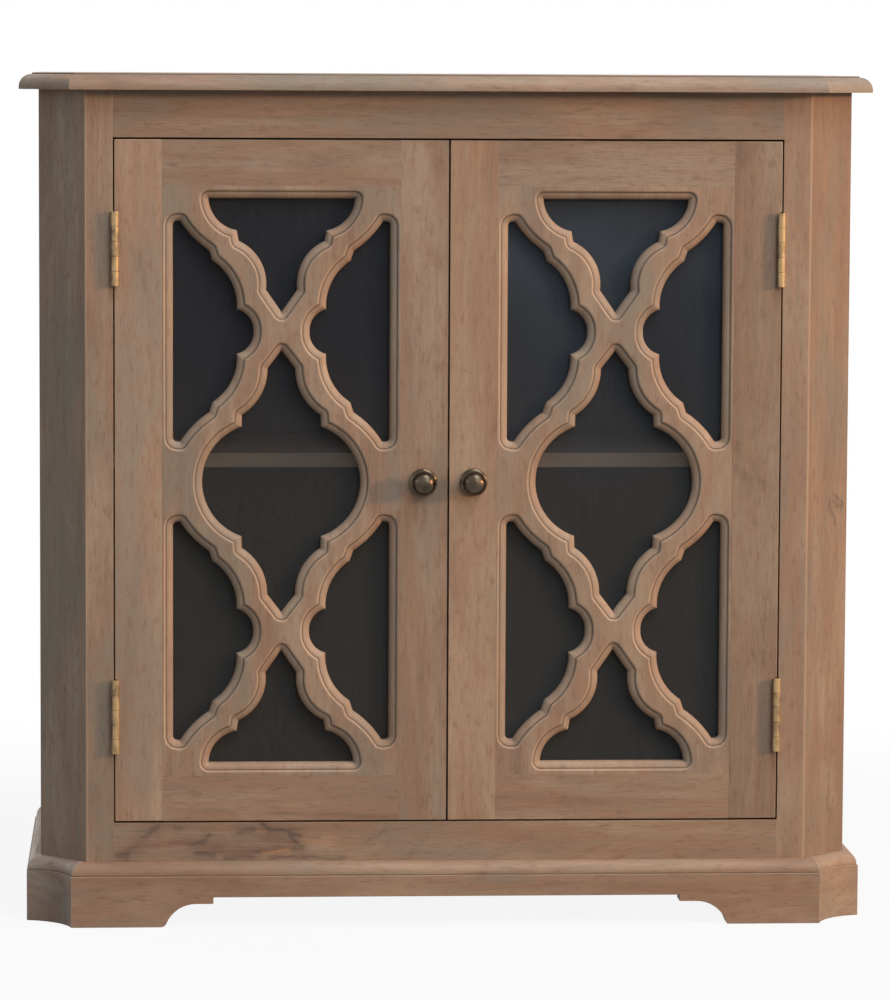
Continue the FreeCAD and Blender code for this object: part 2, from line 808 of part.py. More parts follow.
def opening_cutter(points):
    """What the carver takes out: a square quirk, a round moulding and a straight hole."""
    width = D.lattice_round_width.number
    depth = D.lattice_round_depth.number
    quirk = D.lattice_quirk.number
    rings = [ring(points, width, -D.overrun.number)]
    for width_share, depth_share in ROUND_SHARES:
        rings.append(ring(points, width_share * width, quirk + depth_share * depth))
    rings.append(ring(points, 0, (D.lattice_thickness + D.overrun).number))
    faces = [polygon_face(rings[0]), polygon_face(rings[-1])]
    for front, back in zip(rings, rings[1:]):
        for index in range(len(points)):
            faces.append(polygon_face([front[index - 1], front[index], back[index], back[index - 1]]))
    shell = Part.Shell(faces)
    shell.sewShape()
    cutter = Part.Solid(shell)
    if cutter.Volume < 0:
        cutter.reverse()
    return cutter


def lattice_shape():
    """The carved panel about its own centre, its face at y = 0."""
    width = ((PANE_RIGHT - PANE_LEFT) / 2).number
    height = ((PANE_HIGH - PANE_LOW) / 2).number
    tongue = TONGUE.number
    thickness = D.lattice_thickness.number
    low, high = TONGUE_Y[0].number, TONGUE_Y[1].number
    panel = Part.makeBox(2 * width, thickness, 2 * height, Vector(-width, 0, -height))
    tongues = Part.makeBox(
        2 * (width + tongue),
        high - low,
        2 * (height + tongue),
        Vector(-width - tongue, low, -height - tongue),
    )
    carved = panel.fuse(tongues)
    for steps in lattice_paths():
        carved = carved.cut(opening_cutter(lattice_points(steps, width, height)))
    return carved.removeSplitter()


lattice = doc.addObject("Part::Feature", "left_door_lattice")
lattice.Shape = lattice_shape()
bind(lattice, "Placement.Base.x", (PANE_LEFT + PANE_RIGHT) / 2)
bind(lattice, "Placement.Base.y", FACE)
bind(lattice, "Placement.Base.z", (PANE_LOW + PANE_HIGH) / 2)
keep_pair(lattice)

# Glass behind the lattice, held by four mitred beads
GLASS_Y = (D.lattice_thickness, D.lattice_thickness + D.glass_thickness)
glass_x = (PANE_LEFT + D.glass_play, PANE_RIGHT - D.glass_play)
glass_z = (PANE_LOW + D.glass_play, PANE_HIGH - D.glass_play)
keep_pair(box("left_door_glass", glass_x, GLASS_Y, glass_z))

bead_in = D.bead_width
bead_outlines = {
    "bead_hinge_side": [
        (PANE_LEFT, PANE_LOW),
        (PANE_LEFT + bead_in, PANE_LOW + bead_in),
        (PANE_LEFT + bead_in, PANE_HIGH - bead_in),
        (PANE_LEFT, PANE_HIGH),
    ],
    "bead_meeting_side": [
        (PANE_RIGHT, PANE_LOW),
        (PANE_RIGHT, PANE_HIGH),
        (PANE_RIGHT - bead_in, PANE_HIGH - bead_in),
        (PANE_RIGHT - bead_in, PANE_LOW + bead_in),
    ],
    "bead_top": [
        (PANE_LEFT, PANE_HIGH),
        (PANE_LEFT + bead_in, PANE_HIGH - bead_in),
        (PANE_RIGHT - bead_in, PANE_HIGH - bead_in),
        (PANE_RIGHT, PANE_HIGH),
    ],
    "bead_bottom": [
        (PANE_LEFT, PANE_LOW),
        (PANE_RIGHT, PANE_LOW),
        (PANE_RIGHT - bead_in, PANE_LOW + bead_in),
        (PANE_LEFT + bead_in, PANE_LOW + bead_in),
    ],
}
beads = []
for name, corners in bead_outlines.items():
    bead = doc.addObject("PartDesign::Body", name)
    bead_back = GLASS_Y[1] + D.bead_thickness + FACE
    padded(bead, outline(bead, "XZ_Plane", -bead_back, corners), D.bead_thickness)
    beads.append(bead)
keep_pair(compound("left_door_glazing_beads", beads))

# Butt hinges: knuckles stand proud of the face, and the leaves hide in the door's edge.
# The pin is one with the frame leaf's knuckles, and the door leaf's knuckle turns on it.
KNUCKLES = 3
KNUCKLE = (D.leaf_height - D.knuckle_gap * (KNUCKLES - 1)) / KNUCKLES
LEAF_Y = (D.leaf_setback, D.leaf_reach)
FRAME_LEAF_X = (-HALF_OPENING, D.leaf_thickness - HALF_OPENING)
DOOR_LEAF_X = (
    DOOR_OUT + D.mortise_depth - D.leaf_thickness,
    DOOR_OUT + D.mortise_depth,
)


def hinge_leaf(name, middle, leaf_x, first):
    """One leaf with every second knuckle, not yet bored or pinned."""
    low = middle - D.leaf_height / 2
    parts = [box(name + "_plate", leaf_x, LEAF_Y, (low, low + D.leaf_height))]
    for number in range(first, KNUCKLES, 2):
        start = low + (KNUCKLE + D.knuckle_gap) * number
        tag = name + "_knuckle" + str(number)
        parts.append(rod(tag, D.barrel_radius, (AXIS_X, AXIS_Y, start), "Z", KNUCKLE))
        web_y = (AXIS_Y, D.leaf_setback)
        parts.append(box(tag + "_web", leaf_x, web_y, (start, start + KNUCKLE)))
    return parts


def pin_rod(name, radius, middle):
    start = (AXIS_X, AXIS_Y, middle - D.leaf_height / 2)
    return rod(name, radius, start, "Z", D.leaf_height)


frame_leaves = []
door_leaves = []
for place, middle in HINGE_HEIGHTS.items():
    pin = pin_rod("hinge_pin_" + place, D.pin_radius, middle)
    frame_parts = hinge_leaf("frame_leaf_" + place, middle, FRAME_LEAF_X, 0)
    frame_leaves.append(fused("pinned_leaf_" + place, frame_parts + [pin]))
    bore = pin_rod("knuckle_bore_" + place, D.pin_radius + D.pin_play, middle)
    door_parts = hinge_leaf("door_leaf_" + place, middle, DOOR_LEAF_X, 1)
    door_leaf = fused("unbored_leaf_" + place, door_parts)
    door_leaves.append(cut("door_leaf_" + place, door_leaf, [bore]))
keep_pair(compound("hinge_frame_leaves_left", frame_leaves))
keep_pair(compound("left_door_hinge_leaves", door_leaves))

# Knobs: a bevelled crown over a neck and a wide flange, on a stud through the stile.
# The crown's corners are shares of its radius and its height.
CROWN_SHARES = [(1.0, 0.0), (0.6, 1.0), (0.0, 1.0)]
flange_face = -D.knob_flange_edge
head_face = D.knob_crown + D.knob_edge - D.knob_reach
crown_start = D.knob_crown - D.knob_reach
stud_end = D.board + D.stud_end
knob_corners = [
    (ZERO, stud_end),
    (D.stud_radius, stud_end),
    (D.stud_radius, ZERO),
    (D.knob_flange_radius, ZERO),
    (D.knob_flange_radius, flange_face),
    (D.knob_neck_radius, flange_face),
    (D.knob_neck_radius, head_face),
    (D.knob_radius, head_face),
]
for out, up in CROWN_SHARES:
    knob_corners.append((D.knob_radius * out, crown_start - D.knob_crown * up))
keep_pair(turned("left_door_knob", (KNOB_X, ZERO, KNOB_Z), "XY_Plane", knob_corners))

# Magnet catches under a batten behind the top rail, and a steel plate on each door
batten_y = (D.board, D.board + D.catch_batten_depth)
batten_z = (OPENING_TOP, OPENING_TOP + D.catch_batten_height)
keep(box("catch_batten", (-INNER_CORNER, INNER_CORNER), batten_y, batten_z))
CATCH_X = (DOOR_IN - D.catch_inset - D.catch_length, DOOR_IN - D.catch_inset)
strike_back = D.board + D.strike_thickness
catch_y = (strike_back + D.catch_gap, D.board + D.catch_batten_depth)
catch = box("magnet_catch_left", CATCH_X, catch_y, (OPENING_TOP - D.catch_drop, OPENING_TOP))
keep(compound("magnet_catches", [catch, mirrored(catch)]))
strike_middle = OPENING_TOP - D.catch_drop / 2
strike_z = (strike_middle - D.strike_height / 2, strike_middle + D.strike_height / 2)
keep_pair(box("left_door_strike_plate", CATCH_X, (D.board, strike_back), strike_z))

doc.recompute()
for item in doc.Objects:
    if "Invalid" in item.State or "Error" in item.State:
        raise ValueError(item.Label + " has failed")
for piece in pieces:
    if piece.Shape.isNull() or not piece.Shape.isValid():
        raise ValueError(piece.Label + " has no valid shape")

os.makedirs("parts", exist_ok=True)
for piece in pieces:
    piece.Shape.exportStep("parts/" + piece.Label + ".step")
print(len(pieces), "parts written")
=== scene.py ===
import math
import random

import bpy
import bmesh
from mathutils import Matrix, Vector


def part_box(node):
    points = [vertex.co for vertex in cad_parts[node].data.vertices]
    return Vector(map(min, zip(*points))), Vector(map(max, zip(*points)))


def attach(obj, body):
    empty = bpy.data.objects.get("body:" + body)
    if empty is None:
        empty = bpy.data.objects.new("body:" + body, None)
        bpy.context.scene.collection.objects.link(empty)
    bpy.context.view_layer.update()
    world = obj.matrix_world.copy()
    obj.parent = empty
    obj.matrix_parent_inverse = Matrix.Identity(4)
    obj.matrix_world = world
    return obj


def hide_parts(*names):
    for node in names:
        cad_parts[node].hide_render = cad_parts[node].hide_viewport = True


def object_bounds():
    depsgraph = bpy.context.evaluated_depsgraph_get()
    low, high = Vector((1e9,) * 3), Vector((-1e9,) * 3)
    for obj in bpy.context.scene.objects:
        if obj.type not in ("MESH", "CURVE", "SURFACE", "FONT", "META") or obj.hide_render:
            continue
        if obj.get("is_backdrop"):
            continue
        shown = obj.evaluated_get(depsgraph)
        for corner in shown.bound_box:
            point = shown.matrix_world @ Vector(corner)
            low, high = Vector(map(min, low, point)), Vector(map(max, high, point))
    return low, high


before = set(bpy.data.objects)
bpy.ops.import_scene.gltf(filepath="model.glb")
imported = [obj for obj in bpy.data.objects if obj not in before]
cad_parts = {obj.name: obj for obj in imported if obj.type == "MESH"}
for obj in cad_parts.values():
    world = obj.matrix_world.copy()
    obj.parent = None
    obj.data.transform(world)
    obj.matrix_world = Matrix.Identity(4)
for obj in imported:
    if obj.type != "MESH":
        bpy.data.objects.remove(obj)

cad_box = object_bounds()

# Washed hardwood boards: front frame, canted corners, sides and plinth.
# Hardwood, planed, stained and rubbed with a pale grey wash that stays in the pores.
# Stiles stand, rails lie, and every sawn edge is eased by hand with fine paper.
shuffle = random.Random(7)


def laid(tree, values, sockets):
    """Sets each socket to its value, or links it where the value is a socket too."""
    for value, socket in zip(values, sockets):
        if isinstance(value, bpy.types.NodeSocket):
            tree.links.new(value, socket)
        else:
            socket.default_value = value


def worked(tree, operation, first, second):
    """One step of arithmetic between two sockets."""
    node = tree.nodes.new("ShaderNodeMath")
    node.operation = operation
    laid(tree, (first, second), node.inputs)
    return node.outputs[0]


def vector_step(tree, operation, *values):
    node = tree.nodes.new("ShaderNodeVectorMath")
    node.operation = operation
    laid(tree, values, node.inputs)
    return node


def marked(tree, name):
    """Reads what was marked on the points of a board."""
    node = tree.nodes.new("ShaderNodeAttribute")
    node.attribute_name = name
    return node.outputs


def object_place(tree):
    return tree.nodes.new("ShaderNodeTexCoord").outputs["Object"]


def figure(tree, point, stretch, detail=4.0, roughness=0.55, distortion=0.0):
    """A noise whose cells are drawn out along the grain."""
    node = tree.nodes.new("ShaderNodeTexNoise")
    node.inputs["Scale"].default_value = 1.0
    node.inputs["Detail"].default_value = detail
    node.inputs["Roughness"].default_value = roughness
    node.inputs["Distortion"].default_value = distortion
    drawn = vector_step(tree, "MULTIPLY", point, stretch).outputs[0]
    tree.links.new(drawn, node.inputs["Vector"])
    return node.outputs[0]


def ranged(tree, value, low, high, out_low=0.0, out_high=1.0):
    """Stretches a value's range to another, with soft ends."""
    node = tree.nodes.new("ShaderNodeMapRange")
    node.interpolation_type = "SMOOTHSTEP"
    tree.links.new(value, node.inputs["Value"])
    node.inputs["From Min"].default_value = low
    node.inputs["From Max"].default_value = high
    node.inputs["To Min"].default_value = out_low
    node.inputs["To Max"].default_value = out_high
    return node.outputs[0]


def tinted(tree, share, below, above, mode="MIX"):
    """Lays one colour over another by a share, either of which may be a socket."""
    node = tree.nodes.new("ShaderNodeMix")
    node.data_type = "RGBA"
    node.blend_type = mode
    laid(tree, (share, below, above), (node.inputs[0], node.inputs[6], node.inputs[7]))
    return node.outputs[2]


def bumped(tree, height, depth, shader, before=None):
    """Fine relief in the finish, over an earlier relief if there is one."""
    node = tree.nodes.new("ShaderNodeBump")
    node.inputs["Distance"].default_value = depth
    node.inputs["Strength"].default_value = 1.0
    tree.links.new(height, node.inputs["Height"])
    if before is not None:
        tree.links.new(before, node.inputs["Normal"])
    tree.links.new(node.outputs[0], shader.inputs["Normal"])
    return node.outputs[0]


def plain_material(name):
    material = bpy.data.materials.new(name)
    material.use_nodes = True
    return material, material.node_tree, material.node_tree.nodes["Principled BSDF"]


def coated(tree, shader, colour, roughness):
    tree.links.new(colour, shader.inputs["Base Color"])
    tree.links.new(roughness, shader.inputs["Roughness"])


STROKE_CORE, HALO_CORE = 0.15, 0.1
HALO_REACH, HALO_POWER = 2.8, 0.45


def stroked(tree, place, strokes):
    """How near a point lies to the dark strokes of a knot or a flame in the grain."""
    total = None
    for path, radius, strength in strokes:
        for start, end in zip(path, path[1:]):
            run = Vector(end) - Vector(start)
            away = vector_step(tree, "SUBTRACT", place, start).outputs[0]
            share = vector_step(tree, "DOT_PRODUCT", away, run / run.length_squared)
            held = tree.nodes.new("ShaderNodeClamp")
            tree.links.new(share.outputs["Value"], held.inputs["Value"])
            nearest = vector_step(tree, "SCALE", run)
            tree.links.new(held.outputs[0], nearest.inputs["Scale"])
            gap = vector_step(tree, "DISTANCE", away, nearest.outputs[0]).outputs["Value"]
            for reach, core, power in (
                (radius, STROKE_CORE, strength),
                (radius * HALO_REACH, HALO_CORE, strength * HALO_POWER),
            ):
                near = ranged(tree, gap, reach, reach * core, 0.0, power)
                if total is not None:
                    near = worked(tree, "MAXIMUM", total, near)
                total = near
    return total


# The axis along the grain comes first.
GRAIN_ORDER = {"up": ("Z", "X", "Y"), "across": ("X", "Z", "Y"), "back": ("Y", "X", "Z")}
WEAR_AND_HIGHLIGHT = (1.42, 1.36, 1.34, 1.0)
CHALKY = (1.14, 1.18, 1.20, 1.0)
CREASE_SHADE = 0.45
DRIFT_SCALE = 110.0
GRAIN_DEPTH, PORE_DEPTH = 0.00025, 0.00012


def wood(name, grain, pale, pink, grey, dark, roughness=(0.5, 0.68), strokes=(), wander=0.0):
    """Hardwood with streaks along the grain, fine open pores and patches of wash."""
    material, tree, shader = plain_material(name)
    place = object_place(tree)
    moved = vector_step(tree, "ADD", place, marked(tree, "board_offset")["Vector"])
    split = tree.nodes.new("ShaderNodeSeparateXYZ")
    tree.links.new(moved.outputs[0], split.inputs[0])
    point = tree.nodes.new("ShaderNodeCombineXYZ")
    for socket, axis in zip(point.inputs, GRAIN_ORDER[grain]):
        tree.links.new(split.outputs[axis], socket)
    along = point.outputs[0]
    streaks = figure(tree, along, (2.2, 30.0, 26.0), 5.0, 0.62, 0.6)
    blotches = figure(tree, along, (7.0, 15.0, 14.0), 4.0, 0.55, 0.8)
    fine = figure(tree, along, (9.0, 190.0, 170.0), 4.0, 0.65)
    patches = figure(tree, along, (4.0, 10.0, 10.0), 3.0, 0.5, 0.5)
    mottle = figure(tree, along, (60.0, 160.0, 150.0), 3.0, 0.65)
    pores = figure(tree, along, (60.0, 1300.0, 1200.0), 2.0, 0.5)
    chalky = [c * w for c, w in zip(pale, CHALKY)]
    colour = pale
    # Each coat fades in between two levels of its noise, up to its fullest cover.
    for marks, from_level, to_level, fullest, coat in (
        (streaks, 0.36, 0.64, 1.0, pink),
        (blotches, 0.46, 0.68, 0.85, pink),
        (patches, 0.50, 0.66, 0.70, grey),
        (fine, 0.40, 0.70, 0.5, grey),
        (patches, 0.46, 0.32, 0.50, chalky),
        (mottle, 0.35, 0.72, 0.38, pink),
        (mottle, 0.52, 0.76, 0.38, dark),
        (streaks, 0.58, 0.76, 0.45, dark),
        (blotches, 0.62, 0.78, 0.45, dark),
        (pores, 0.56, 0.72, 0.45, dark),
    ):
        cover = ranged(tree, marks, from_level, to_level, 0.0, fullest)
        colour = tinted(tree, cover, colour, coat)
    if strokes:
        drift = tree.nodes.new("ShaderNodeTexNoise")
        drift.inputs["Scale"].default_value = DRIFT_SCALE
        drift.inputs["Detail"].default_value = 4.0
        drift.inputs["Roughness"].default_value = 0.65
        tree.links.new(place, drift.inputs["Vector"])
        centred = vector_step(tree, "SUBTRACT", drift.outputs["Color"], (0.5, 0.5, 0.5))
        drifted = vector_step(tree, "MULTIPLY", centred.outputs[0], (wander, wander, wander))
        smudged = vector_step(tree, "ADD", place, drifted.outputs[0]).outputs[0]
        fibres = ranged(tree, fine, 0.34, 0.62, 0.55, 1.0)
        for ink, paths in strokes:
            share = worked(tree, "MULTIPLY", stroked(tree, smudged, paths), fibres)
            colour = tinted(tree, share, colour, ink)
    # Crests are lightened, partly for wear and partly as painted highlight.
    uneven = ranged(tree, patches, 0.3, 0.7, 0.9, 0.55)
    paler_share = worked(tree, "MULTIPLY", marked(tree, "board_wear_and_highlight")["Fac"], uneven)
    colour = tinted(tree, paler_share, colour, [c * w for c, w in zip(pale, WEAR_AND_HIGHLIGHT)])
    # Inner corners are darkened with painted shade, by each point's crease share.
    painted_shade_colour = [c * CREASE_SHADE for c in dark[:3]] + [1]
    colour = tinted(tree, marked(tree, "board_crease_shade")["Fac"], colour, painted_shade_colour)
    colour = tinted(tree, 1.0, colour, marked(tree, "board_tone")["Color"], "MULTIPLY")
    coated(tree, shader, colour, ranged(tree, fine, 0.3, 0.7, *roughness))
    shader.inputs["Specular IOR Level"].default_value = 0.35
    grained = bumped(tree, fine, GRAIN_DEPTH, shader)
    bumped(tree, pores, PORE_DEPTH, shader, grained)
    return material


PALE = (0.385, 0.290, 0.208, 1.0)
PINK = (0.318, 0.196, 0.130, 1.0)
GREY = (0.240, 0.212, 0.168, 1.0)
DARK = (0.135, 0.084, 0.058, 1.0)
washed = {
    grain: wood("washed_wood_" + grain, grain, PALE, PINK, GREY, DARK) for grain in GRAIN_ORDER
}
EDGE_ANGLE = 35.0
FLAT_WEIGHT = 80


def only(piece):
    bpy.ops.object.select_all(action="DESELECT")
    piece.select_set(True)
    bpy.context.view_layer.objects.active = piece


def opened(piece):
    """Takes a piece into edit mode with all of it selected."""
    only(piece)
    bpy.ops.object.mode_set(mode="EDIT")
    bpy.ops.mesh.select_all(action="SELECT")


def closed():
    bpy.ops.object.mode_set(mode="OBJECT")


def added(name, data):
    piece = bpy.data.objects.new(name, data)
    bpy.context.collection.objects.link(piece)
    return piece


def apply_all(piece):
    only(piece)
    for modifier in list(piece.modifiers):
        bpy.ops.object.modifier_apply(modifier=modifier.name)


def bevelled(piece, width, band=-1):
    """Rounds the sharp edges; a band number marks the new faces."""
    bevel = piece.modifiers.new("eased_edges", "BEVEL")
    bevel.width = width
    bevel.segments = 2
    bevel.limit_method = "ANGLE"
    bevel.angle_limit = math.radians(EDGE_ANGLE)
    bevel.material = band
    apply_all(piece)


def settled(piece, angle=EDGE_ANGLE):
    """Smooth shading that keeps the flats flat up to their rounded edges."""
    only(piece)
    bpy.ops.object.shade_smooth_by_angle(angle=math.radians(angle))
    weighted = piece.modifiers.new("flat_faces", "WEIGHTED_NORMAL")
    weighted.keep_sharp = True
    weighted.weight = FLAT_WEIGHT
    apply_all(piece)


MOULDING_FOOT = 0.045
SHADE_REACH = 1.3


def inner_corners(piece):
    """The sharp inside corners of a board's moulding, where painted shade darkens the wood."""
    corners = []
    reader = bmesh.new()
    reader.from_mesh(piece.data)
    for edge in reader.edges:
        if len(edge.link_faces) != 2 or min(end.co.z for end in edge.verts) < MOULDING_FOOT:
            continue
        if edge.calc_face_angle_signed() < -math.radians(EDGE_ANGLE):
            corners.append((edge.verts[0].co.copy(), edge.verts[1].co.copy()))
    reader.free()
    return corners


def beside(place, corners, reach):
    """Whether a place lies within reach of any of the corners."""
    for start, end in corners:
        run = end - start
        share = min(1.0, max(0.0, (place - start).dot(run) / run.length_squared))
        if (place - start - run * share).length < reach:
            return True
    return False


def mark_wear_and_painted_light(mesh, crest, crease):
    """Marks each point's share of crest, lightened for wear and painted highlight, and of crease,
    darkened with painted shade.
    """
    for name, shares in (("board_wear_and_highlight", crest), ("board_crease_shade", crease)):
        mesh.attributes.new(name, "FLOAT", "POINT").data.foreach_set("value", shares)


def eased(piece, width, painted_shade=0.0, wear_and_highlight_band=None):
    """Rounds the sharp edges, and marks the crests, lightened for wear and painted highlight, and
    the inner corners, darkened with painted shade.
    """
    mesh = piece.data
    corners = inner_corners(piece) if painted_shade else []
    mesh.materials.clear()
    # For a while the first slot holds the flats and the second the rounded edges.
    for number in range(2):
        mesh.materials.append(None)
    for face in mesh.polygons:
        face.material_index = 0
    bevelled(piece, width, band=1)
    mesh = piece.data
    crest = [1.0] * len(mesh.vertices)
    for face in mesh.polygons:
        if face.material_index == 0:
            for index in face.vertices:
                crest[index] = 0.0
        face.material_index = 0
    crease = [0.0] * len(mesh.vertices)
    for vertex in mesh.vertices:
        if wear_and_highlight_band and wear_and_highlight_band(vertex.co):
            crest[vertex.index] = 1.0
        if beside(vertex.co, corners, width * SHADE_REACH):
            crease[vertex.index] = painted_shade
    mark_wear_and_painted_light(mesh, crest, crease)
    settled(piece)


def finished(piece, material):
    piece.data.materials.clear()
    piece.data.materials.append(material)


TIMBER_REACH = 4
LIGHT_SPREAD, WARM_SPREAD = 0.03, 0.02


def as_board(piece, material, light=None, warm=None):
    """Gives a board its own stretch of timber and its own tone."""
    mesh = piece.data
    offset = [shuffle.uniform(-TIMBER_REACH, TIMBER_REACH) for _ in range(3)]
    light = 1 + shuffle.uniform(-LIGHT_SPREAD, LIGHT_SPREAD) if light is None else light
    warm = shuffle.uniform(-WARM_SPREAD, WARM_SPREAD) if warm is None else warm
    shift = mesh.attributes.new("board_offset", "FLOAT_VECTOR", "POINT")
    shift.data.foreach_set("vector", offset * len(mesh.vertices))
    tone = mesh.attributes.new("board_tone", "FLOAT_COLOR", "POINT")
    colour = [light * (1 + warm), light, light * (1 - warm), 1.0]
    tone.data.foreach_set("color", colour * len(mesh.vertices))
    finished(piece, material)


def retoned(piece, chosen, factors):
    """Changes the tone of one part of a board."""
    tones = piece.data.attributes["board_tone"].data
    for vertex, tone in zip(piece.data.vertices, tones):
        if chosen(vertex.co):
            tone.color = [value * factor for value, factor in zip(tone.color, factors)] + [1.0]


MERGE = 0.00001
FLAT_ANGLE = 0.3


def copied(node, name):
    """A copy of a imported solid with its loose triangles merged."""
    piece = added(name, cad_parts[node].data.copy())
    only(piece)
    bpy.ops.mesh.customdata_custom_splitnormals_clear()
    opened(piece)
    bpy.ops.mesh.remove_doubles(threshold=MERGE)
    bpy.ops.mesh.dissolve_limited(angle_limit=math.radians(FLAT_ANGLE))
    closed()
    return piece


def seated(piece, body, slot, *nodes):
    """Puts a piece on its body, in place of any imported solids."""
    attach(piece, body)
    if nodes:
        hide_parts(*nodes)


def scored(piece, place, across):
    """Adds a line of points over a piece's faces, where a band of wear and painted highlight, or a
    cut, can stop.
    """
    opened(piece)
    bpy.ops.mesh.bisect(plane_co=place, plane_no=across, use_fill=False)
    closed()


def rounded(piece, radius, chosen):
    """Rounds the edges that lie at a chosen place, as years of use do."""
    opened(piece)
    bpy.ops.mesh.select_mode(type="EDGE")
    bpy.ops.mesh.select_all(action="DESELECT")
    closed()
    points = piece.data.vertices
    for edge in piece.data.edges:
        edge.select = all(chosen(points[end].co) for end in edge.vertices)
    bpy.ops.object.mode_set(mode="EDIT")
    bpy.ops.mesh.bevel(offset=radius, segments=5, affect="EDGES")
    closed()


HAND_EASE, JOINT_EASE = 0.0009, 0.0003


def board(
    node, material, body="cabinet", slot="washed_wood", ease=HAND_EASE, light=None, warm=None,
    painted_shade=0.0, score=None, wear_and_highlight_band=None, rounding=None,
):
    """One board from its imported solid: scored, rounded, eased, toned and put on its body."""
    piece = copied(node, node + "_board")
    if score:
        scored(piece, *score)
    if rounding:
        rounded(piece, *rounding)
    eased(piece, ease, painted_shade=painted_shade, wear_and_highlight_band=wear_and_highlight_band)
    as_board(piece, material, light, warm)
    seated(piece, body, slot, node)
    return piece


ARRIS_OUT, FACE_FRONT = 0.37325, -0.178
CANT_RUN = 0.04825
ARRIS_WEAR_AND_HIGHLIGHT = 0.0016
# A stroke is a path, a radius and a strength. The knot's paths go by share back and height.
KNOT = [
    ([(0.65, 0.4457), (0.905, 0.4347)], 0.0013, 0.85),
    ([(0.565, 0.4395), (0.58, 0.4300), (0.6875, 0.4200), (0.70, 0.4135)], 0.0015, 0.8),
    ([(0.66, 0.4385), (0.80, 0.4345)], 0.0055, 0.40),
    ([(0.74, 0.4325), (0.88, 0.4320)], 0.0026, 0.75),
]


def on_cant(share, height):
    """A place on the right canted corner, by its share of the way back."""
    return ARRIS_OUT + CANT_RUN * share, FACE_FRONT + CANT_RUN * share, height


def canted_strokes(strokes):
    return [
        ([on_cant(*place) for place in path], radius, power) for path, radius, power in strokes
    ]


SMOKY = (0.078, 0.060, 0.054, 1.0)
REDDISH = (0.230, 0.125, 0.088, 1.0)
FLUSHED = (0.440, 0.250, 0.140, 1.0)
knotty = wood(
    "washed_wood_knotty", "up", PALE, PINK, GREY, DARK,
    strokes=[(SMOKY, canted_strokes(KNOT))], wander=0.002,
)
# The outer arris of each frame stile and canted corner gets a lighter band, partly wear and partly
# painted highlight.
for side, hand, stile_light, panel_light, cant_light, cant_wood in (
    ("left", -1, 0.99, 0.95, 1.0, washed["up"]),
    ("right", 1, 0.97, 0.92, 0.75, knotty),
):
    board(
        "frame_stile_" + side,
        washed["up"],
        ease=JOINT_EASE,
        light=stile_light,
        warm=0.0,
        score=((hand * (ARRIS_OUT - ARRIS_WEAR_AND_HIGHLIGHT), 0, 0), (1, 0, 0)),
        wear_and_highlight_band=lambda place: abs(place.x) > ARRIS_OUT - ARRIS_WEAR_AND_HIGHLIGHT / 2,
    )
    board("side_panel_" + side, washed["up"], light=panel_light, warm=0.0)
    board(
        "corner_board_" + side,
        cant_wood,
        ease=JOINT_EASE,
        light=cant_light,
        warm=-0.01,
        score=((hand * (ARRIS_OUT + ARRIS_WEAR_AND_HIGHLIGHT), FACE_FRONT + ARRIS_WEAR_AND_HIGHLIGHT, 0), (hand, 1, 0)),
        wear_and_highlight_band=lambda place: abs(place.x) - ARRIS_OUT + place.y - FACE_FRONT < ARRIS_WEAR_AND_HIGHLIGHT,
    )
# The top rail's darker tone is partly stain and partly painted shade under the top board.
board("frame_top_rail", washed["across"], ease=JOINT_EASE, light=0.89, warm=0.01)
MILLIMETRE = 0.001
# The rail's strokes go by place across and height, in millimetres.
FLAME = [
    ([(-300, 103), (-311, 94), (-324, 82), (-337, 72)], 6.5, 0.60),
    ([(-339, 73), (-333, 71)], 9.0, 0.60),
    ([(-246, 93), (-256, 87), (-265, 82)], 5.0, 0.70),
    ([(-281, 102), (-276, 101)], 6.0, 0.42),
    ([(-214, 97), (-201, 99)], 7.0, 0.66),
    ([(-191, 106), (-183, 99), (-167, 98), (-152, 92)], 5.2, 0.85),
    ([(-165, 97), (-158, 87), (-150, 81)], 4.8, 0.80),
    ([(-184, 98), (-170, 93), (-160, 90)], 11.0, 0.42),
    ([(-150, 80), (-177, 80), (-195, 76), (-203, 71)], 4.2, 0.68),
    ([(-259, 76), (-243, 73)], 6.5, 0.78),
    ([(-229, 71), (-202, 72)], 6.5, 0.85),
    ([(-265, 82), (-240, 78), (-212, 72)], 11.0, 0.42),
    ([(-184, 69), (-160, 71), (-133, 69), (-108, 68)], 3.4, 0.80),
    ([(-152, 92), (-133, 91)], 2.8, 0.55),
    ([(-61, 102), (-72, 92), (-84, 86)], 2.2, 0.36),
    ([(-40, 70), (-30, 82), (-20, 92)], 2.2, 0.32),
]
FLUSH = [
    ([(-335, 76), (-300, 84), (-266, 86), (-240, 80), (-200, 77), (-160, 84)], 9.0, 0.80),
    ([(-190, 90), (-170, 86)], 10.0, 0.65),
]
SPARKS = [([(-190, 75), (-163, 78)], 2.2, 0.9), ([(-146, 88), (-120, 86)], 4.0, 0.6)]


def on_rail(strokes):
    """The strokes in metres, on the front face of the bottom rail."""
    return [
        (
            [(x * MILLIMETRE, FACE_FRONT, z * MILLIMETRE) for x, z in path],
            radius * MILLIMETRE,
            power,
        )
        for path, radius, power in strokes
    ]


figured = wood(
    "washed_wood_figured", "across", PALE, PINK, GREY, DARK,
    strokes=[(REDDISH, on_rail(FLUSH)), (SMOKY, on_rail(FLAME)), (FLUSHED, on_rail(SPARKS))],
    wander=0.008,
)
board("frame_bottom_rail", figured, ease=JOINT_EASE, light=0.94, warm=0.01)
PLINTH_SHADE = 0.75
FOOT_END, FOOT_ROUND = -0.2922, 0.0045
CLOSE = 0.0001


def at_foot_end(place):
    return abs(place.x - FOOT_END) < CLOSE and place.z < CLOSE


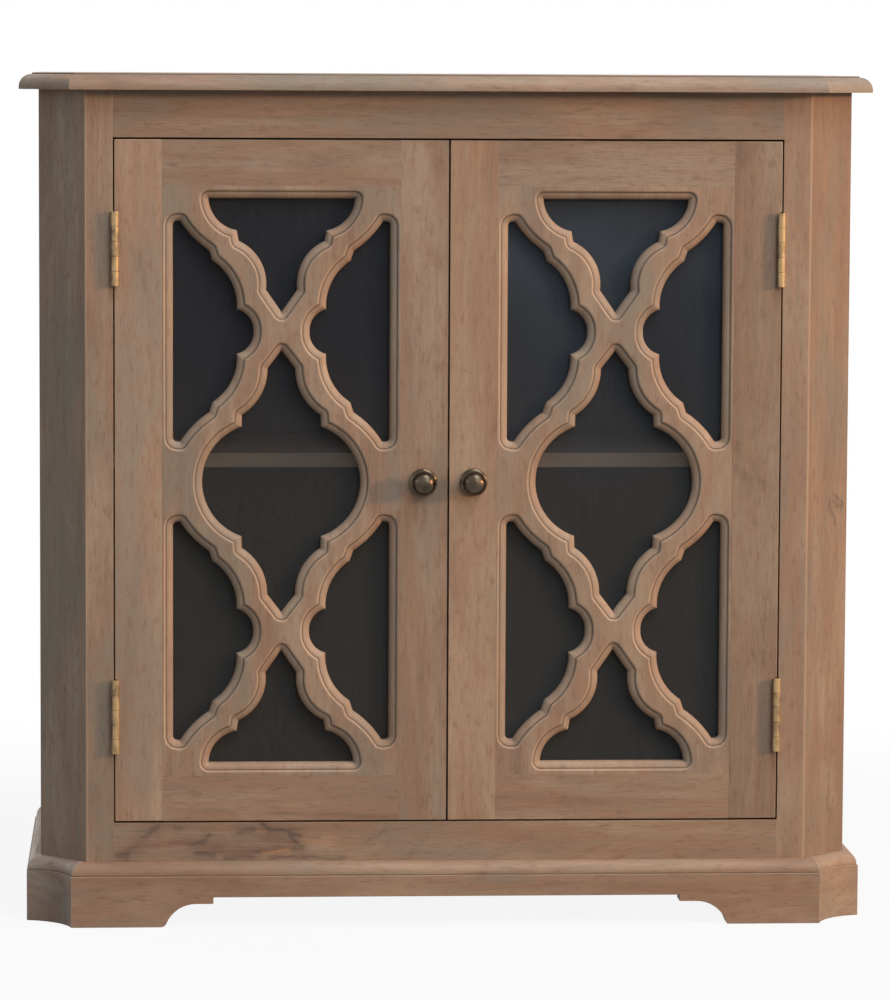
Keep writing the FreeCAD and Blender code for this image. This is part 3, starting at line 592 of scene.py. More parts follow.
# The plinth's inner corners are darkened with painted shade.
board(
    "plinth_front", washed["across"], light=0.95, warm=0.01, painted_shade=PLINTH_SHADE,
    rounding=(FOOT_ROUND, at_foot_end),
)
for side in ("left", "right"):
    board("plinth_side_" + side, washed["back"], painted_shade=PLINTH_SHADE)
corner_blocks = board(
    "plinth_corners", washed["across"], light=0.95, warm=-0.01, painted_shade=PLINTH_SHADE
)
PAINTED_SKYLIGHT_LEFT_BLOCK = (1.06, 1.13, 1.24)
RIGHT_BLOCK_SHADE = 0.4
# The left block's paler, bluer tone is painted cool skylight on its shaded side.
retoned(corner_blocks, lambda place: place.x < 0, PAINTED_SKYLIGHT_LEFT_BLOCK)
# The right block takes less painted shade in its inner corners.
creases = corner_blocks.data.attributes["board_crease_shade"].data
for vertex, crease in zip(corner_blocks.data.vertices, creases):
    if vertex.co.x > 0:
        crease.value *= RIGHT_BLOCK_SHADE

# Top board: one wide washed slab with canted front corners.
# Its front, cants and sides are run with a half-round edge under a fine square step.
TOP_FACE = 0.8799
TOP_EASE, TOP_CREASE_SHADE = 0.0006, 0.85
PAINTED_SKYLIGHT_ON_TOP = (1.06, 1.10, 1.15)
# Its inner corners are darkened with painted shade.
slab = board(
    "top_board", washed["across"], ease=TOP_EASE, light=0.98, warm=-0.04, painted_shade=TOP_CREASE_SHADE
)
# The top face is painted paler and bluer, as skylight from above.
retoned(slab, lambda place: place.z > TOP_FACE, PAINTED_SKYLIGHT_ON_TOP)

# Inside boards: floor and bearers, shelf and cleats, back rail, batten and glue blocks.
# The same timber, sawn and left without wax, with a plywood back pinned in its rebates.
# The inside colours are darker than the washed wood, partly as unwashed timber and partly as
# painted shade that keeps the inside dark behind the glass.
INSIDE_PALE = (0.215, 0.155, 0.110, 1.0)
INSIDE_PINK = (0.180, 0.120, 0.082, 1.0)
INSIDE_GREY = (0.160, 0.126, 0.095, 1.0)
INSIDE_DARK = (0.085, 0.058, 0.042, 1.0)
UNWAXED = (0.65, 0.8)
inside = {
    grain: wood(
        "inside_wood_" + grain, grain, INSIDE_PALE, INSIDE_PINK, INSIDE_GREY, INSIDE_DARK, UNWAXED
    )
    for grain in GRAIN_ORDER
}
# The shelf is made in the paler washed wood, and its front edge is painted far lighter again:
# painted light on the edge seen through the glass.
SHELF_FRONT, LIPPING = -0.116, 0.002
PAINTED_LIGHT_ON_SHELF_EDGE = (1.70, 1.76, 1.78)


def on_lipping(place):
    return place.y < SHELF_FRONT + LIPPING / 2


shelf = board(
    "shelf", washed["across"], slot="inside_wood", light=1.0, warm=-0.04,
    score=((0, SHELF_FRONT + LIPPING, 0), (0, 1, 0)), wear_and_highlight_band=on_lipping,
)
retoned(shelf, on_lipping, PAINTED_LIGHT_ON_SHELF_EDGE)
for node in ("floor_board", "floor_bearers", "back_top_rail", "catch_batten", "plinth_back"):
    board(node, inside["across"], slot="inside_wood")
for node in ("shelf_cleat_left", "shelf_cleat_right", "top_cleat_left", "top_cleat_right"):
    board(node, inside["back"], slot="inside_wood")
board("plinth_glue_blocks", inside["up"], slot="inside_wood")
board("back_panel", inside["up"], slot="plywood")


def joined(pieces, name):
    """Makes one piece of several."""
    only(pieces[0])
    for piece in pieces[1:]:
        piece.select_set(True)
    if len(pieces) > 1:
        bpy.ops.object.join()
    whole = bpy.context.object
    whole.name = name
    whole.data.name = name
    return whole


PIN_HEAD, PIN_PROUD, PIN_EASE = 0.0021, 0.0004, 0.0002
PIN_SIDE, PIN_TOP, PIN_BOTTOM = 0.4055, 0.8470, 0.0990
PINS_UP, PINS_ACROSS = 8, 9
PIN_WOBBLE = 0.002
BACK_FACE = 0.202
STEEL_DULL, STEEL_BRIGHT = (0.42, 0.42, 0.41, 1), (0.56, 0.56, 0.55, 1)
steel, steel_tree, steel_shader = plain_material("plated_steel")
steel_shader.inputs["Metallic"].default_value = 1.0
brushed = figure(steel_tree, object_place(steel_tree), (40.0, 900.0, 900.0), 3.0)
steel_level = ranged(steel_tree, brushed, 0.35, 0.65)
steel_colour = tinted(steel_tree, steel_level, STEEL_DULL, STEEL_BRIGHT)
steel_rough = ranged(steel_tree, brushed, 0.3, 0.7, 0.32, 0.5)
coated(steel_tree, steel_shader, steel_colour, steel_rough)
bumped(steel_tree, brushed, 0.00003, steel_shader)
bpy.ops.mesh.primitive_cylinder_add(vertices=12, radius=PIN_HEAD, depth=2 * PIN_PROUD)
pin = bpy.context.object
pin.data.transform(Matrix.Rotation(math.pi / 2, 4, "X"))
eased(pin, PIN_EASE)
pin_places = []
for number in range(PINS_UP):
    height = PIN_BOTTOM + (PIN_TOP - PIN_BOTTOM) * number / (PINS_UP - 1)
    pin_places += [(-PIN_SIDE, height), (PIN_SIDE, height)]
for number in range(1, PINS_ACROSS - 1):
    across = PIN_SIDE * (2 * number / (PINS_ACROSS - 1) - 1)
    pin_places += [(across, PIN_BOTTOM), (across, PIN_TOP)]
pins = []
for across, height in pin_places:
    head = added("back_pin", pin.data.copy())
    wobble = shuffle.uniform(-PIN_WOBBLE, PIN_WOBBLE)
    head.data.transform(Matrix.Translation((across, BACK_FACE, height + wobble)))
    pins.append(head)
bpy.data.objects.remove(pin)
back_pins = joined(pins, "back_panel_pins")
finished(back_pins, steel)
seated(back_pins, "cabinet", "steel")

# Door stiles and rails: washed hardwood, grooved for the carved panel.
# The stiles run full height and the rails' stub tenons are glued into their grooves.
DOOR_TONES = {
    "left_door_hinge_stile": (1.16, 0.0),
    "left_door_meeting_stile": (0.90, -0.01),
    "right_door_meeting_stile": (0.99, 0.03),
    "right_door_hinge_stile": (0.77, 0.0),
    "left_door_top_rail": (0.88, -0.01),
    "left_door_bottom_rail": (0.96, 0.0),
    "right_door_top_rail": (0.81, -0.01),
    "right_door_bottom_rail": (0.96, 0.0),
}
for node, (light, warm) in DOOR_TONES.items():
    grain = "up" if "stile" in node else "across"
    board(node, washed[grain], "door_" + node.split("_")[0], light=light, warm=warm)

# Carved panels: an ogee lattice sawn and carved from one washed board in each door.
# Every opening has a fine square quirk and a round moulding, cleaned up with a gouge.
MOULDING_WIDTH, MOULDING_DEPTH = 7.6, 6.3
QUIRK = 2.2
EDGE_WIDTH, EDGE_DEPTH = 2.7, 1.6
EDGE_TURNS = (0.2, 0.6, 1.1, math.pi / 2)
ROUND_STEPS = 7
CHORD = 2.2
OVERRUN, CUT_THROUGH = 5.0, 20.0
CUTTER_MERGE = 0.000002
CROSSING = 0.5085
# Openings as shares of the panel's half width and height; a pair is an arc's middle and end.
LANTERN = [
    [(0.0000, 0.4446)],
    [(0.1170, 0.3839)],
    [(0.1800, 0.2887), (0.3313, 0.2264)],
    [(0.3354, 0.1862)],
    [(0.5755, 0.1143), (0.6667, 0.0000)],
]
END_HOLE = [
    [(0.0000, 0.5741)],
    [(0.1309, 0.6496)],
    [(0.1840, 0.7513), (0.3599, 0.8136)],
    [(0.3763, 0.8497)],
    [(0.5481, 0.8891), (0.6135, 0.9572)],
    [(0.0000, 0.9572)],
]
SIDE_HOLE = [
    [(0.2372, 0.5085)],
    [(0.2740, 0.5578), (0.3763, 0.5840)],
    [(0.4213, 0.6759), (0.5808, 0.7480)],
    [(0.6094, 0.7825)],
    [(0.7362, 0.8235), (0.8507, 0.8809)],
    [(0.8790, 0.8809)],
    [(0.9024, 0.8770), (0.9121, 0.8676)],
    [(0.9121, 0.5085)],
]


def retraced(steps):
    """The same steps walked from the other end."""
    path = [[steps[-1][-1]]]
    for index in range(len(steps) - 1, 0, -1):
        path.append(steps[index][:-1] + [steps[index - 1][-1]])
    return path


def flipped(steps, across=1, up=1, about=0.0):
    """The steps mirrored across the panel, or up and down about a height."""
    return [[(u * across, about + (w - about) * up) for u, w in step] for step in steps]


def left_of(direction):
    return Vector((-direction.y, direction.x))


SAME_PLACE = 1e-6


def traced(steps, half_width, half_height):
    """An opening's edges in millimetres, walked clockwise: (start, end, centre or None)."""
    places = [[Vector((u * half_width, w * half_height)) for u, w in step] for step in steps]
    if (places[-1][-1] - places[0][-1]).length > SAME_PLACE:
        places.append([places[0][-1]])
    edges = []
    for before, step in zip(places, places[1:]):
        start, end, centre = before[-1], step[-1], None
        if len(step) == 2:
            a, b = step[0] - start, end - start
            cross = 2 * (a.x * b.y - a.y * b.x)
            a_square, b_square = a.length_squared, b.length_squared
            centre = start + Vector((
                (b.y * a_square - a.y * b_square) / cross,
                (a.x * b_square - b.x * a_square) / cross,
            ))
        edges.append((start, end, centre))
    area = sum(start.x * end.y - start.y * end.x for start, end, centre in edges)
    if area > 0:
        edges = [(end, start, centre) for start, end, centre in reversed(edges)]
    return edges


def headings(edge):
    """The direction of travel at an edge's start and end."""
    start, end, centre = edge
    if centre is None:
        along = (end - start).normalized()
        return along, along
    side = (end - start).x * (centre - start).y - (end - start).y * (centre - start).x
    turn = 1 if side > 0 else -1
    return tuple(left_of((point - centre).normalized()) * turn for point in (start, end))


MEETING_STEPS = 30


def crossing_point(edge_a, edge_b, growth, guess):
    """Where two neighbouring edges meet once both have moved out by the growth."""
    point = guess.copy()
    for _ in range(MEETING_STEPS):
        rows = []
        for start, end, centre in (edge_a, edge_b):
            if centre is None:
                normal = left_of((end - start).normalized())
                rows.append((normal, (start - point).dot(normal) + growth))
            else:
                along = headings((start, end, centre))[0]
                inward = 1 if left_of(along).dot(centre - start) > 0 else -1
                radius = (start - centre).length - growth * inward
                spoke = point - centre
                rows.append((spoke.normalized(), radius - spoke.length))
        (a, p), (b, q) = rows
        scale = a.x * b.y - a.y * b.x
        point += Vector(((p * b.y - q * a.y) / scale, (a.x * q - b.x * p) / scale))
    return point


SHARP_TURN = 0.05
FAN_STEP = 9


def ring(edges, growth):
    """The outline moved into the wood: round at the hole's tips, sharp at the wood's."""
    count = len(edges)
    joints = []
    for index in range(count):
        before, after = edges[index - 1], edges[index]
        corner = after[0]
        arrival, departure = headings(before)[1], headings(after)[0]
        out_a, out_b = left_of(arrival), left_of(departure)
        turn = arrival.x * departure.y - arrival.y * departure.x
        if turn > SHARP_TURN:
            guess = corner + (out_a + out_b) / (1 + out_a.dot(out_b)) * growth
            meeting = crossing_point(before, after, growth, guess)
            joints.append((meeting, meeting, []))
        else:
            sweep = math.atan2(turn, arrival.dot(departure))
            steps = max(1, math.ceil(abs(sweep) / math.radians(FAN_STEP)))
            fan = [
                corner + Matrix.Rotation(sweep * step / steps, 2) @ out_a * growth
                for step in range(1, steps)
            ]
            joints.append((corner + out_a * growth, corner + out_b * growth, fan))
    points = []
    for index, edge in enumerate(edges):
        start = joints[index][1]
        end = joints[(index + 1) % count][0]
        centre = edge[2]
        points.extend([joints[index][0]] + joints[index][2] if joints[index][2] else [])
        points.append(start)
        if centre is None:
            continue
        spoke_a, spoke_b = start - centre, end - centre
        sweep = math.atan2(spoke_a.x * spoke_b.y - spoke_a.y * spoke_b.x, spoke_a.dot(spoke_b))
        steps = max(2, math.ceil((edge[1] - edge[0]).length / CHORD))
        for step in range(1, steps):
            points.append(centre + Matrix.Rotation(sweep * step / steps, 2) @ spoke_a)
    return points


def lattice_openings(half_width, half_height):
    """The lantern in the middle, the two end holes and the four side holes."""
    right = LANTERN + retraced(flipped(LANTERN, up=-1))[1:]
    paths = [right + retraced(flipped(right, across=-1))[1:]]
    for up in (1, -1):
        half = flipped(END_HOLE, up=up)
        paths.append(half + retraced(flipped(half, across=-1))[1:])
    side = retraced(flipped(SIDE_HOLE, up=-1, about=CROSSING)) + SIDE_HOLE[1:]
    for across in (1, -1):
        for up in (1, -1):
            paths.append(flipped(side, across=across, up=up))
    return [traced(path, half_width, half_height) for path in paths]


def carving_cutter(name, edges, centre, face):
    """What the saw and gouge take out of one opening, as rings from front to back."""
    levels = []
    for turn in EDGE_TURNS:
        down = EDGE_DEPTH * (1 - math.cos(turn))
        levels.append((MOULDING_WIDTH + EDGE_WIDTH * (1 - math.sin(turn)), down))
    levels.insert(0, (levels[0][0], -OVERRUN))
    levels.append((MOULDING_WIDTH, QUIRK))
    for step in range(1, ROUND_STEPS + 1):
        turn = math.pi / 2 * step / ROUND_STEPS
        down = QUIRK + MOULDING_DEPTH * (1 - math.cos(turn))
        levels.append((MOULDING_WIDTH * (1 - math.sin(turn)), down))
    levels.append((0.0, CUT_THROUGH))
    places, faces = [], []
    for growth, depth in levels:
        for p in ring(edges, growth):
            place = centre + Vector((p.x, 0, p.y)) * MILLIMETRE
            place.y = face + depth * MILLIMETRE
            places.append(place)
    size = len(places) // len(levels)
    faces.append(list(reversed(range(size))))
    for level in range(len(levels) - 1):
        low = level * size
        for index in range(size):
            follow = (index + 1) % size
            faces.append([low + index, low + follow, low + size + follow, low + size + index])
    faces.append(list(range(len(places) - size, len(places))))
    mesh = bpy.data.meshes.new(name)
    mesh.from_pydata(places, [], faces)
    cutter = added(name, mesh)
    opened(cutter)
    bpy.ops.mesh.remove_doubles(threshold=CUTTER_MERGE)
    closed()
    return cutter


def sawn_block(name, middle, sizes):
    """A square block, sawn to size in its place."""
    bpy.ops.mesh.primitive_cube_add(size=1, location=middle)
    block = bpy.context.object
    block.name = name
    block.scale = sizes
    bpy.ops.object.transform_apply(location=True, rotation=False, scale=True)
    return block


PANEL_ANGLE = 38.0
NEAR = 0.1
ROUND_WEAR_AND_HIGHLIGHT, EDGE_WEAR_AND_HIGHLIGHT, QUIRK_SHADE = 0.20, 0.5, 0.85
for side in ("left", "right"):
    node = side + "_door_lattice"
    low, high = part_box(node)
    pane_low, pane_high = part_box(side + "_door_glazing_beads")
    centre = (pane_low + pane_high) / 2
    half = (pane_high - pane_low) / 2
    middle = (centre.x, (low.y + high.y) / 2, centre.z)
    sizes = (2 * half.x, high.y - low.y, 2 * half.z)
    panel = sawn_block(side + "_door_carved_panel", middle, sizes)
    for number, edges in enumerate(lattice_openings(half.x / MILLIMETRE, half.z / MILLIMETRE)):
        cutter = carving_cutter(side + "_cutter_" + str(number), edges, centre, low.y)
        carve = panel.modifiers.new("carving", "BOOLEAN")
        carve.operation = "DIFFERENCE"
        carve.object = cutter
        carve.solver = "MANIFOLD"
        apply_all(panel)
        bpy.data.objects.remove(cutter)
    # The round moulding and the raised edge are lightened, partly wear and partly painted
    # highlight; the quirk is darkened with painted shade.
    crest, crease = [], []
    for point in panel.data.vertices:
        depth = (point.co.y - low.y) / MILLIMETRE
        on_round = QUIRK + NEAR * 1.5 < depth < QUIRK + MOULDING_DEPTH + NEAR
        on_edge = NEAR / 5 < depth < EDGE_DEPTH * 0.9
        crest.append(ROUND_WEAR_AND_HIGHLIGHT if on_round else EDGE_WEAR_AND_HIGHLIGHT if on_edge else 0.0)
        crease.append(QUIRK_SHADE if abs(depth - QUIRK) < NEAR else 0.0)
    mark_wear_and_painted_light(panel.data, crest, crease)
    settled(panel, PANEL_ANGLE)
    as_board(panel, washed["up"], light=0.97, warm=-0.01)
    seated(panel, "door_" + side, "washed_wood", node)

# Door glass: one float pane behind each carved panel, bedded on four pinned beads.
# The glass's colour is painted reflection, navy at the top, greyer lower down and paler in clouds
# on the right door's upper part; with the darker inside it reads near black.
GLASS_HIGH = (0.036, 0.040, 0.052, 1.0)
GLASS_LOW = (0.060, 0.064, 0.064, 1.0)
PAINTED_SKY_REFLECTION = (0.086, 0.122, 0.166, 1.0)
GLASS_COVER = 0.36
PANE_MIDDLE = -0.1645
PANE_CLEAR, PANE_EASE = 0.0001, 0.0003
BEAD_EASE = 0.0005
glass, glass_tree, glass_shader = plain_material("door_glass")
glass_place = object_place(glass_tree)
glass_split = glass_tree.nodes.new("ShaderNodeSeparateXYZ")
glass_tree.links.new(glass_place, glass_split.inputs[0])
glass_level = ranged(glass_tree, glass_split.outputs["Z"], 0.42, 0.62)
glass_colour = tinted(glass_tree, glass_level, GLASS_LOW, GLASS_HIGH)
clouds = figure(glass_tree, glass_place, (6.0, 6.0, 5.0), 4.0, 0.6, 0.6)
# The paler clouds are a painted sky reflection on the right door's upper part.
right_side = ranged(glass_tree, glass_split.outputs["X"], -0.06, 0.06, 0.15, 0.85)
upper_side = ranged(glass_tree, glass_split.outputs["Z"], 0.40, 0.75, 0.15, 1.0)
painted_reflection = worked(glass_tree, "MULTIPLY", right_side, upper_side)
cloudy = ranged(glass_tree, clouds, 0.30, 0.70, 0.35, 1.0)
painted_reflection = worked(glass_tree, "MULTIPLY", painted_reflection, cloudy)
glass_colour = tinted(glass_tree, painted_reflection, glass_colour, PAINTED_SKY_REFLECTION)
glass_tree.links.new(glass_colour, glass_shader.inputs["Base Color"])
glass_shader.inputs["Alpha"].default_value = GLASS_COVER
glass_shader.inputs["Roughness"].default_value = 0.06
glass_shader.inputs["Specular IOR Level"].default_value = 0.12
glass_shader.inputs["IOR"].default_value = 1.45
for side in ("left", "right"):
    node = side + "_door_glass"
    pane = copied(node, node + "_pane")
    for vertex in pane.data.vertices:
        if vertex.co.y < PANE_MIDDLE:
            vertex.co.y += PANE_CLEAR
    eased(pane, PANE_EASE)
    finished(pane, glass)
    seated(pane, "door_" + side, "clear_glass", node)
    board(side + "_door_glazing_beads", inside["up"], "door_" + side, "inside_wood", BEAD_EASE)

# Butt hinges: four polished brass ones, let into the edges of the doors and the frame.
# Five knuckles turn on a pin, and slotted screws hold each leaf.
HINGE_HEIGHT = 0.0764
HINGE_MIDDLES = {"lower": 0.218, "upper": 0.701}
AXIS_OUT, AXIS_FRONT = 0.34275, -0.1822
BARREL = 0.004
KNUCKLES, KNUCKLE_SIDES = 5, 28
KNUCKLE_SPACE, KNUCKLE_EDGE = 0.0002, 0.0005
PIVOT, PIVOT_EDGE, PIVOT_SIDES = 0.0018, 0.0002, 20
LEAF_THICK, LEAF_EDGE = 0.002, 0.0003
LEAF_FRONT, LEAF_BACK = -0.1778, -0.160
FRAME_LEAF, DOOR_LEAF = 0.345, 0.3415
WEB_OVERLAP = 0.001
SCREW_HEIGHTS, SCREW_STAGGER = (-0.026, 0.0, 0.026), 0.003
SCREW_RADIUS, SCREW_PROUD = 0.0029, 0.00005
SLOT_HALF, SLOT_DEEP = 0.00035, 0.0008
SLOT_TURN = 1.2
BRASS, TARNISHED = (0.46, 0.31, 0.15, 1), (0.20, 0.13, 0.07, 1)

brass, brass_tree, brass_shader = plain_material("hinge_brass")
brass_place = object_place(brass_tree)
brass_shader.inputs["Metallic"].default_value = 0.45
scratches = figure(brass_tree, brass_place, (900.0, 900.0, 60.0), 3.0)
tarnish = figure(brass_tree, brass_place, (90.0, 90.0, 60.0), 4.0)
brass_colour = tinted(brass_tree, ranged(brass_tree, tarnish, 0.45, 0.7), BRASS, TARNISHED)
brass_rough = ranged(brass_tree, scratches, 0.3, 0.7, 0.26, 0.40)
coated(brass_tree, brass_shader, brass_colour, brass_rough)
bumped(brass_tree, scratches, 0.00004, brass_shader)


def rod_along(name, place, radius, length, edge, sides):
    """An upright round bar with eased ends."""
    bpy.ops.mesh.primitive_cylinder_add(
        vertices=sides, radius=radius, depth=length, location=place
    )
    bar = bpy.context.object
    bar.name = name
    bpy.ops.object.transform_apply(location=True, rotation=False, scale=False)
    bevelled(bar, edge)
    return bar


def slotted_screw(name, place, outward):
    """A countersunk slotted head, flush in what it holds."""
    bpy.ops.mesh.primitive_circle_add(vertices=24, radius=SCREW_RADIUS, fill_type="NGON")
    head = bpy.context.object
    head.name = name
    for slot_side in (SLOT_HALF, -SLOT_HALF):
        scored(head, (slot_side, 0, 0), (1, 0, 0))
    opened(head)
    bpy.ops.mesh.select_all(action="DESELECT")
    bpy.ops.mesh.select_mode(type="FACE")
    closed()
    for face in head.data.polygons:
        face.select = abs(face.center.x) < SLOT_HALF
    bpy.ops.object.mode_set(mode="EDIT")
    bpy.ops.mesh.extrude_region_move(TRANSFORM_OT_translate={"value": (0, 0, -SLOT_DEEP)})
    bpy.ops.mesh.select_all(action="SELECT")
    slot_turn = shuffle.uniform(-SLOT_TURN, SLOT_TURN)
    bpy.ops.transform.rotate(value=slot_turn, orient_axis="Z", center_override=(0, 0, 0))
    closed()
    turn = Vector(outward).to_track_quat("Z", "Y").to_matrix().to_4x4()
    head.data.transform(Matrix.Translation(place) @ turn)
    return head


def hinge_half(name, hand, middle, leaf_side, on_frame):
    """One leaf, its own knuckles and its three screws; hand is -1 on the left."""
    low = middle - HINGE_HEIGHT / 2
    tall = (HINGE_HEIGHT - (KNUCKLES - 1) * KNUCKLE_SPACE) / KNUCKLES
    leaf_x = hand * (leaf_side + LEAF_THICK / 2)
    leaf_y = (LEAF_FRONT + LEAF_BACK) / 2
    leaf_sizes = (LEAF_THICK, LEAF_BACK - LEAF_FRONT, HINGE_HEIGHT)
    parts = [sawn_block(name, (leaf_x, leaf_y, middle), leaf_sizes)]
    bevelled(parts[0], LEAF_EDGE)
    for number in range(0 if on_frame else 1, KNUCKLES, 2):
        centre = low + (tall + KNUCKLE_SPACE) * number + tall / 2
        place = (hand * AXIS_OUT, AXIS_FRONT, centre)
        knuckle_name = name + "_knuckle"
        parts.append(rod_along(knuckle_name, place, BARREL, tall, KNUCKLE_EDGE, KNUCKLE_SIDES))
        web_place = (leaf_x, (AXIS_FRONT + LEAF_FRONT) / 2, centre)
        web_sizes = (LEAF_THICK, LEAF_FRONT - AXIS_FRONT + WEB_OVERLAP, tall)
        parts.append(sawn_block(name + "_web", web_place, web_sizes))
    if on_frame:
        place = (hand * AXIS_OUT, AXIS_FRONT, middle)
        pin_name = name + "_pin"
        parts.append(rod_along(pin_name, place, PIVOT, HINGE_HEIGHT, PIVOT_EDGE, PIVOT_SIDES))
    open_side = -1 if on_frame else 1
    face_x = leaf_side if on_frame else leaf_side + LEAF_THICK
    for height in SCREW_HEIGHTS:
        screw_y = leaf_y + (SCREW_STAGGER if height == 0 else 0.0)
        place = (hand * (face_x + open_side * SCREW_PROUD), screw_y, middle + height)
        parts.append(slotted_screw(name + "_screw", place, (hand * open_side, 0, 0)))
    whole = joined(parts, name)
    settled(whole)
    finished(whole, brass)
    return whole


for side, hand in (("left", -1), ("right", 1)):
    frame_node = "hinge_frame_leaves_" + side
    door_node = side + "_door_hinge_leaves"
    for place, middle in HINGE_MIDDLES.items():
        half_name = side + "_" + place + "_hinge_"
        frame_half = hinge_half(half_name + "frame_leaf", hand, middle, FRAME_LEAF, True)
        seated(frame_half, "cabinet", "brass", frame_node)
        door_half = hinge_half(half_name + "door_leaf", hand, middle, DOOR_LEAF, False)
        seated(door_half, "door_" + side, "brass", door_node)

# Knobs: turned from solid brass and browned; the rim of the flange is brighter, partly rubbed wear
# and partly painted highlight.
# Each is one piece with a waisted neck, on a stud through the stile with a nut behind.
KNOB_OUT, KNOB_HEIGHT = 0.026, 0.4608
KNOB_MIDDLE = -0.19
KNOB_STEPS, KNOB_ANGLE = 48, 38.0
STILE_BACK = -0.158
NUT_RADIUS, NUT_THICK, NUT_EASE = 0.0041, 0.0030, 0.0003
BROWNED, WORN_BROWN = (0.048, 0.039, 0.030, 1), (0.088, 0.067, 0.046, 1)
BRIGHT_RIM = (0.26, 0.19, 0.11, 1)
# The knob's turned outline: distance from its axis, and place from front to back.
KNOB_LINE = [
    (0.0000, -0.2040),
    (0.0030, -0.20385),
    (0.0062, -0.2029),
    (0.0090, -0.2011),
    (0.0111, -0.1985),
    (0.0122, -0.1957),
    (0.0125, -0.1935),
    (0.0120, -0.1918),
    (0.0106, -0.1907),
    (0.0078, -0.1899),
    (0.0060, -0.1880),
    (0.0056, -0.1860),
    (0.0062, -0.1838),
    (0.0085, -0.1822),
    (0.0118, -0.1812),
    (0.0136, -0.1804),
    (0.0143, -0.1793),
    (0.0143, -0.1780),
    (0.0020, -0.1780),
    (0.0020, -0.1540),
    (0.0000, -0.1540),
]

bronze, bronze_tree, bronze_shader = plain_material("antique_brass")
bronze_shader.inputs["Metallic"].default_value = 1.0
paler_share = figure(bronze_tree, object_place(bronze_tree), (160.0, 160.0, 160.0), 4.0)
rim_wear_and_highlight = bronze_tree.nodes.new("ShaderNodeNewGeometry").outputs["Pointiness"]
bronze_level = ranged(bronze_tree, paler_share, 0.35, 0.7)
bronze_colour = tinted(bronze_tree, bronze_level, BROWNED, WORN_BROWN)
# The rims are brightened, partly as wear and partly as painted highlight.
rim_level = ranged(bronze_tree, rim_wear_and_highlight, 0.52, 0.60, 0.0, 0.8)
bronze_colour = tinted(bronze_tree, rim_level, bronze_colour, BRIGHT_RIM)
bronze_rough = ranged(bronze_tree, paler_share, 0.3, 0.7, 0.22, 0.36)
coated(bronze_tree, bronze_shader, bronze_colour, bronze_rough)
bumped(bronze_tree, paler_share, 0.00006, bronze_shader)

for side, hand in (("left", -1), ("right", 1)):
    points = [(hand * KNOB_OUT + radius, y, KNOB_HEIGHT) for radius, y in KNOB_LINE]
    mesh = bpy.data.meshes.new(side + "_knob")
    mesh.from_pydata(points, [(i, i + 1) for i in range(len(points) - 1)], [])
    knob = added(side + "_door_turned_knob", mesh)
    axis_place = (hand * KNOB_OUT, KNOB_MIDDLE, KNOB_HEIGHT)
    opened(knob)
    bpy.ops.mesh.spin(steps=KNOB_STEPS, angle=2 * math.pi, center=axis_place, axis=(0, 1, 0))
    bpy.ops.mesh.select_all(action="SELECT")
    bpy.ops.mesh.remove_doubles(threshold=MERGE)
    bpy.ops.mesh.normals_make_consistent(inside=False)
    closed()
    bpy.ops.object.shade_smooth_by_angle(angle=math.radians(KNOB_ANGLE))
    finished(knob, bronze)
    seated(knob, "door_" + side, "antique_brass", side + "_door_knob")
    nut_place = (hand * KNOB_OUT, STILE_BACK + NUT_THICK / 2, KNOB_HEIGHT)
    bpy.ops.mesh.primitive_cylinder_add(
        vertices=6, radius=NUT_RADIUS, depth=NUT_THICK, location=nut_place
    )
    nut = bpy.context.object
    nut.name = side + "_door_knob_nut"
    nut.rotation_euler = (math.pi / 2, 0, 0)
    bpy.ops.object.transform_apply(location=True, rotation=True, scale=False)
    eased(nut, NUT_EASE)
    finished(nut, bronze)
    seated(nut, "door_" + side, "antique_brass")

# Magnet catches: a steel plate on each door's top rail meets a magnet under the batten.
# The plates are zinc-plated steel with two screws, and the magnets sit in brown cases.
CASE_DARK, CASE_PALE = (0.045, 0.026, 0.016, 1), (0.062, 0.038, 0.024, 1)
plastic, plastic_tree, plastic_shader = plain_material("catch_plastic")
speckle = figure(plastic_tree, object_place(plastic_tree), (900.0, 900.0, 900.0), 2.0)
plastic_colour = tinted(plastic_tree, speckle, CASE_DARK, CASE_PALE)
plastic_tree.links.new(plastic_colour, plastic_shader.inputs["Base Color"])
plastic_shader.inputs["Roughness"].default_value = 0.45
bumped(plastic_tree, speckle, 0.00005, plastic_shader)
CASE_EASE, PLATE_EASE = 0.0012, 0.0003
PLATE_SCREWS = 0.013
catches = copied("magnet_catches", "magnet_catch_cases")
eased(catches, CASE_EASE)
finished(catches, plastic)
seated(catches, "cabinet", "catch_plastic", "magnet_catches")
for side in ("left", "right"):
    plate = copied(side + "_door_strike_plate", side + "_door_catch_plate")
    eased(plate, PLATE_EASE)
    finished(plate, steel)
    seated(plate, "door_" + side, "steel", side + "_door_strike_plate")
    low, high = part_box(side + "_door_strike_plate")
    middle = (low + high) / 2
    heads = [
        slotted_screw("plate_screw", (middle.x + shift, high.y + SCREW_PROUD, middle.z), (0, 1, 0))
        for shift in (-PLATE_SCREWS, PLATE_SCREWS)
    ]
    screws = joined(heads, side + "_door_catch_plate_screws")
    finished(screws, steel)
    seated(screws, "door_" + side, "steel")

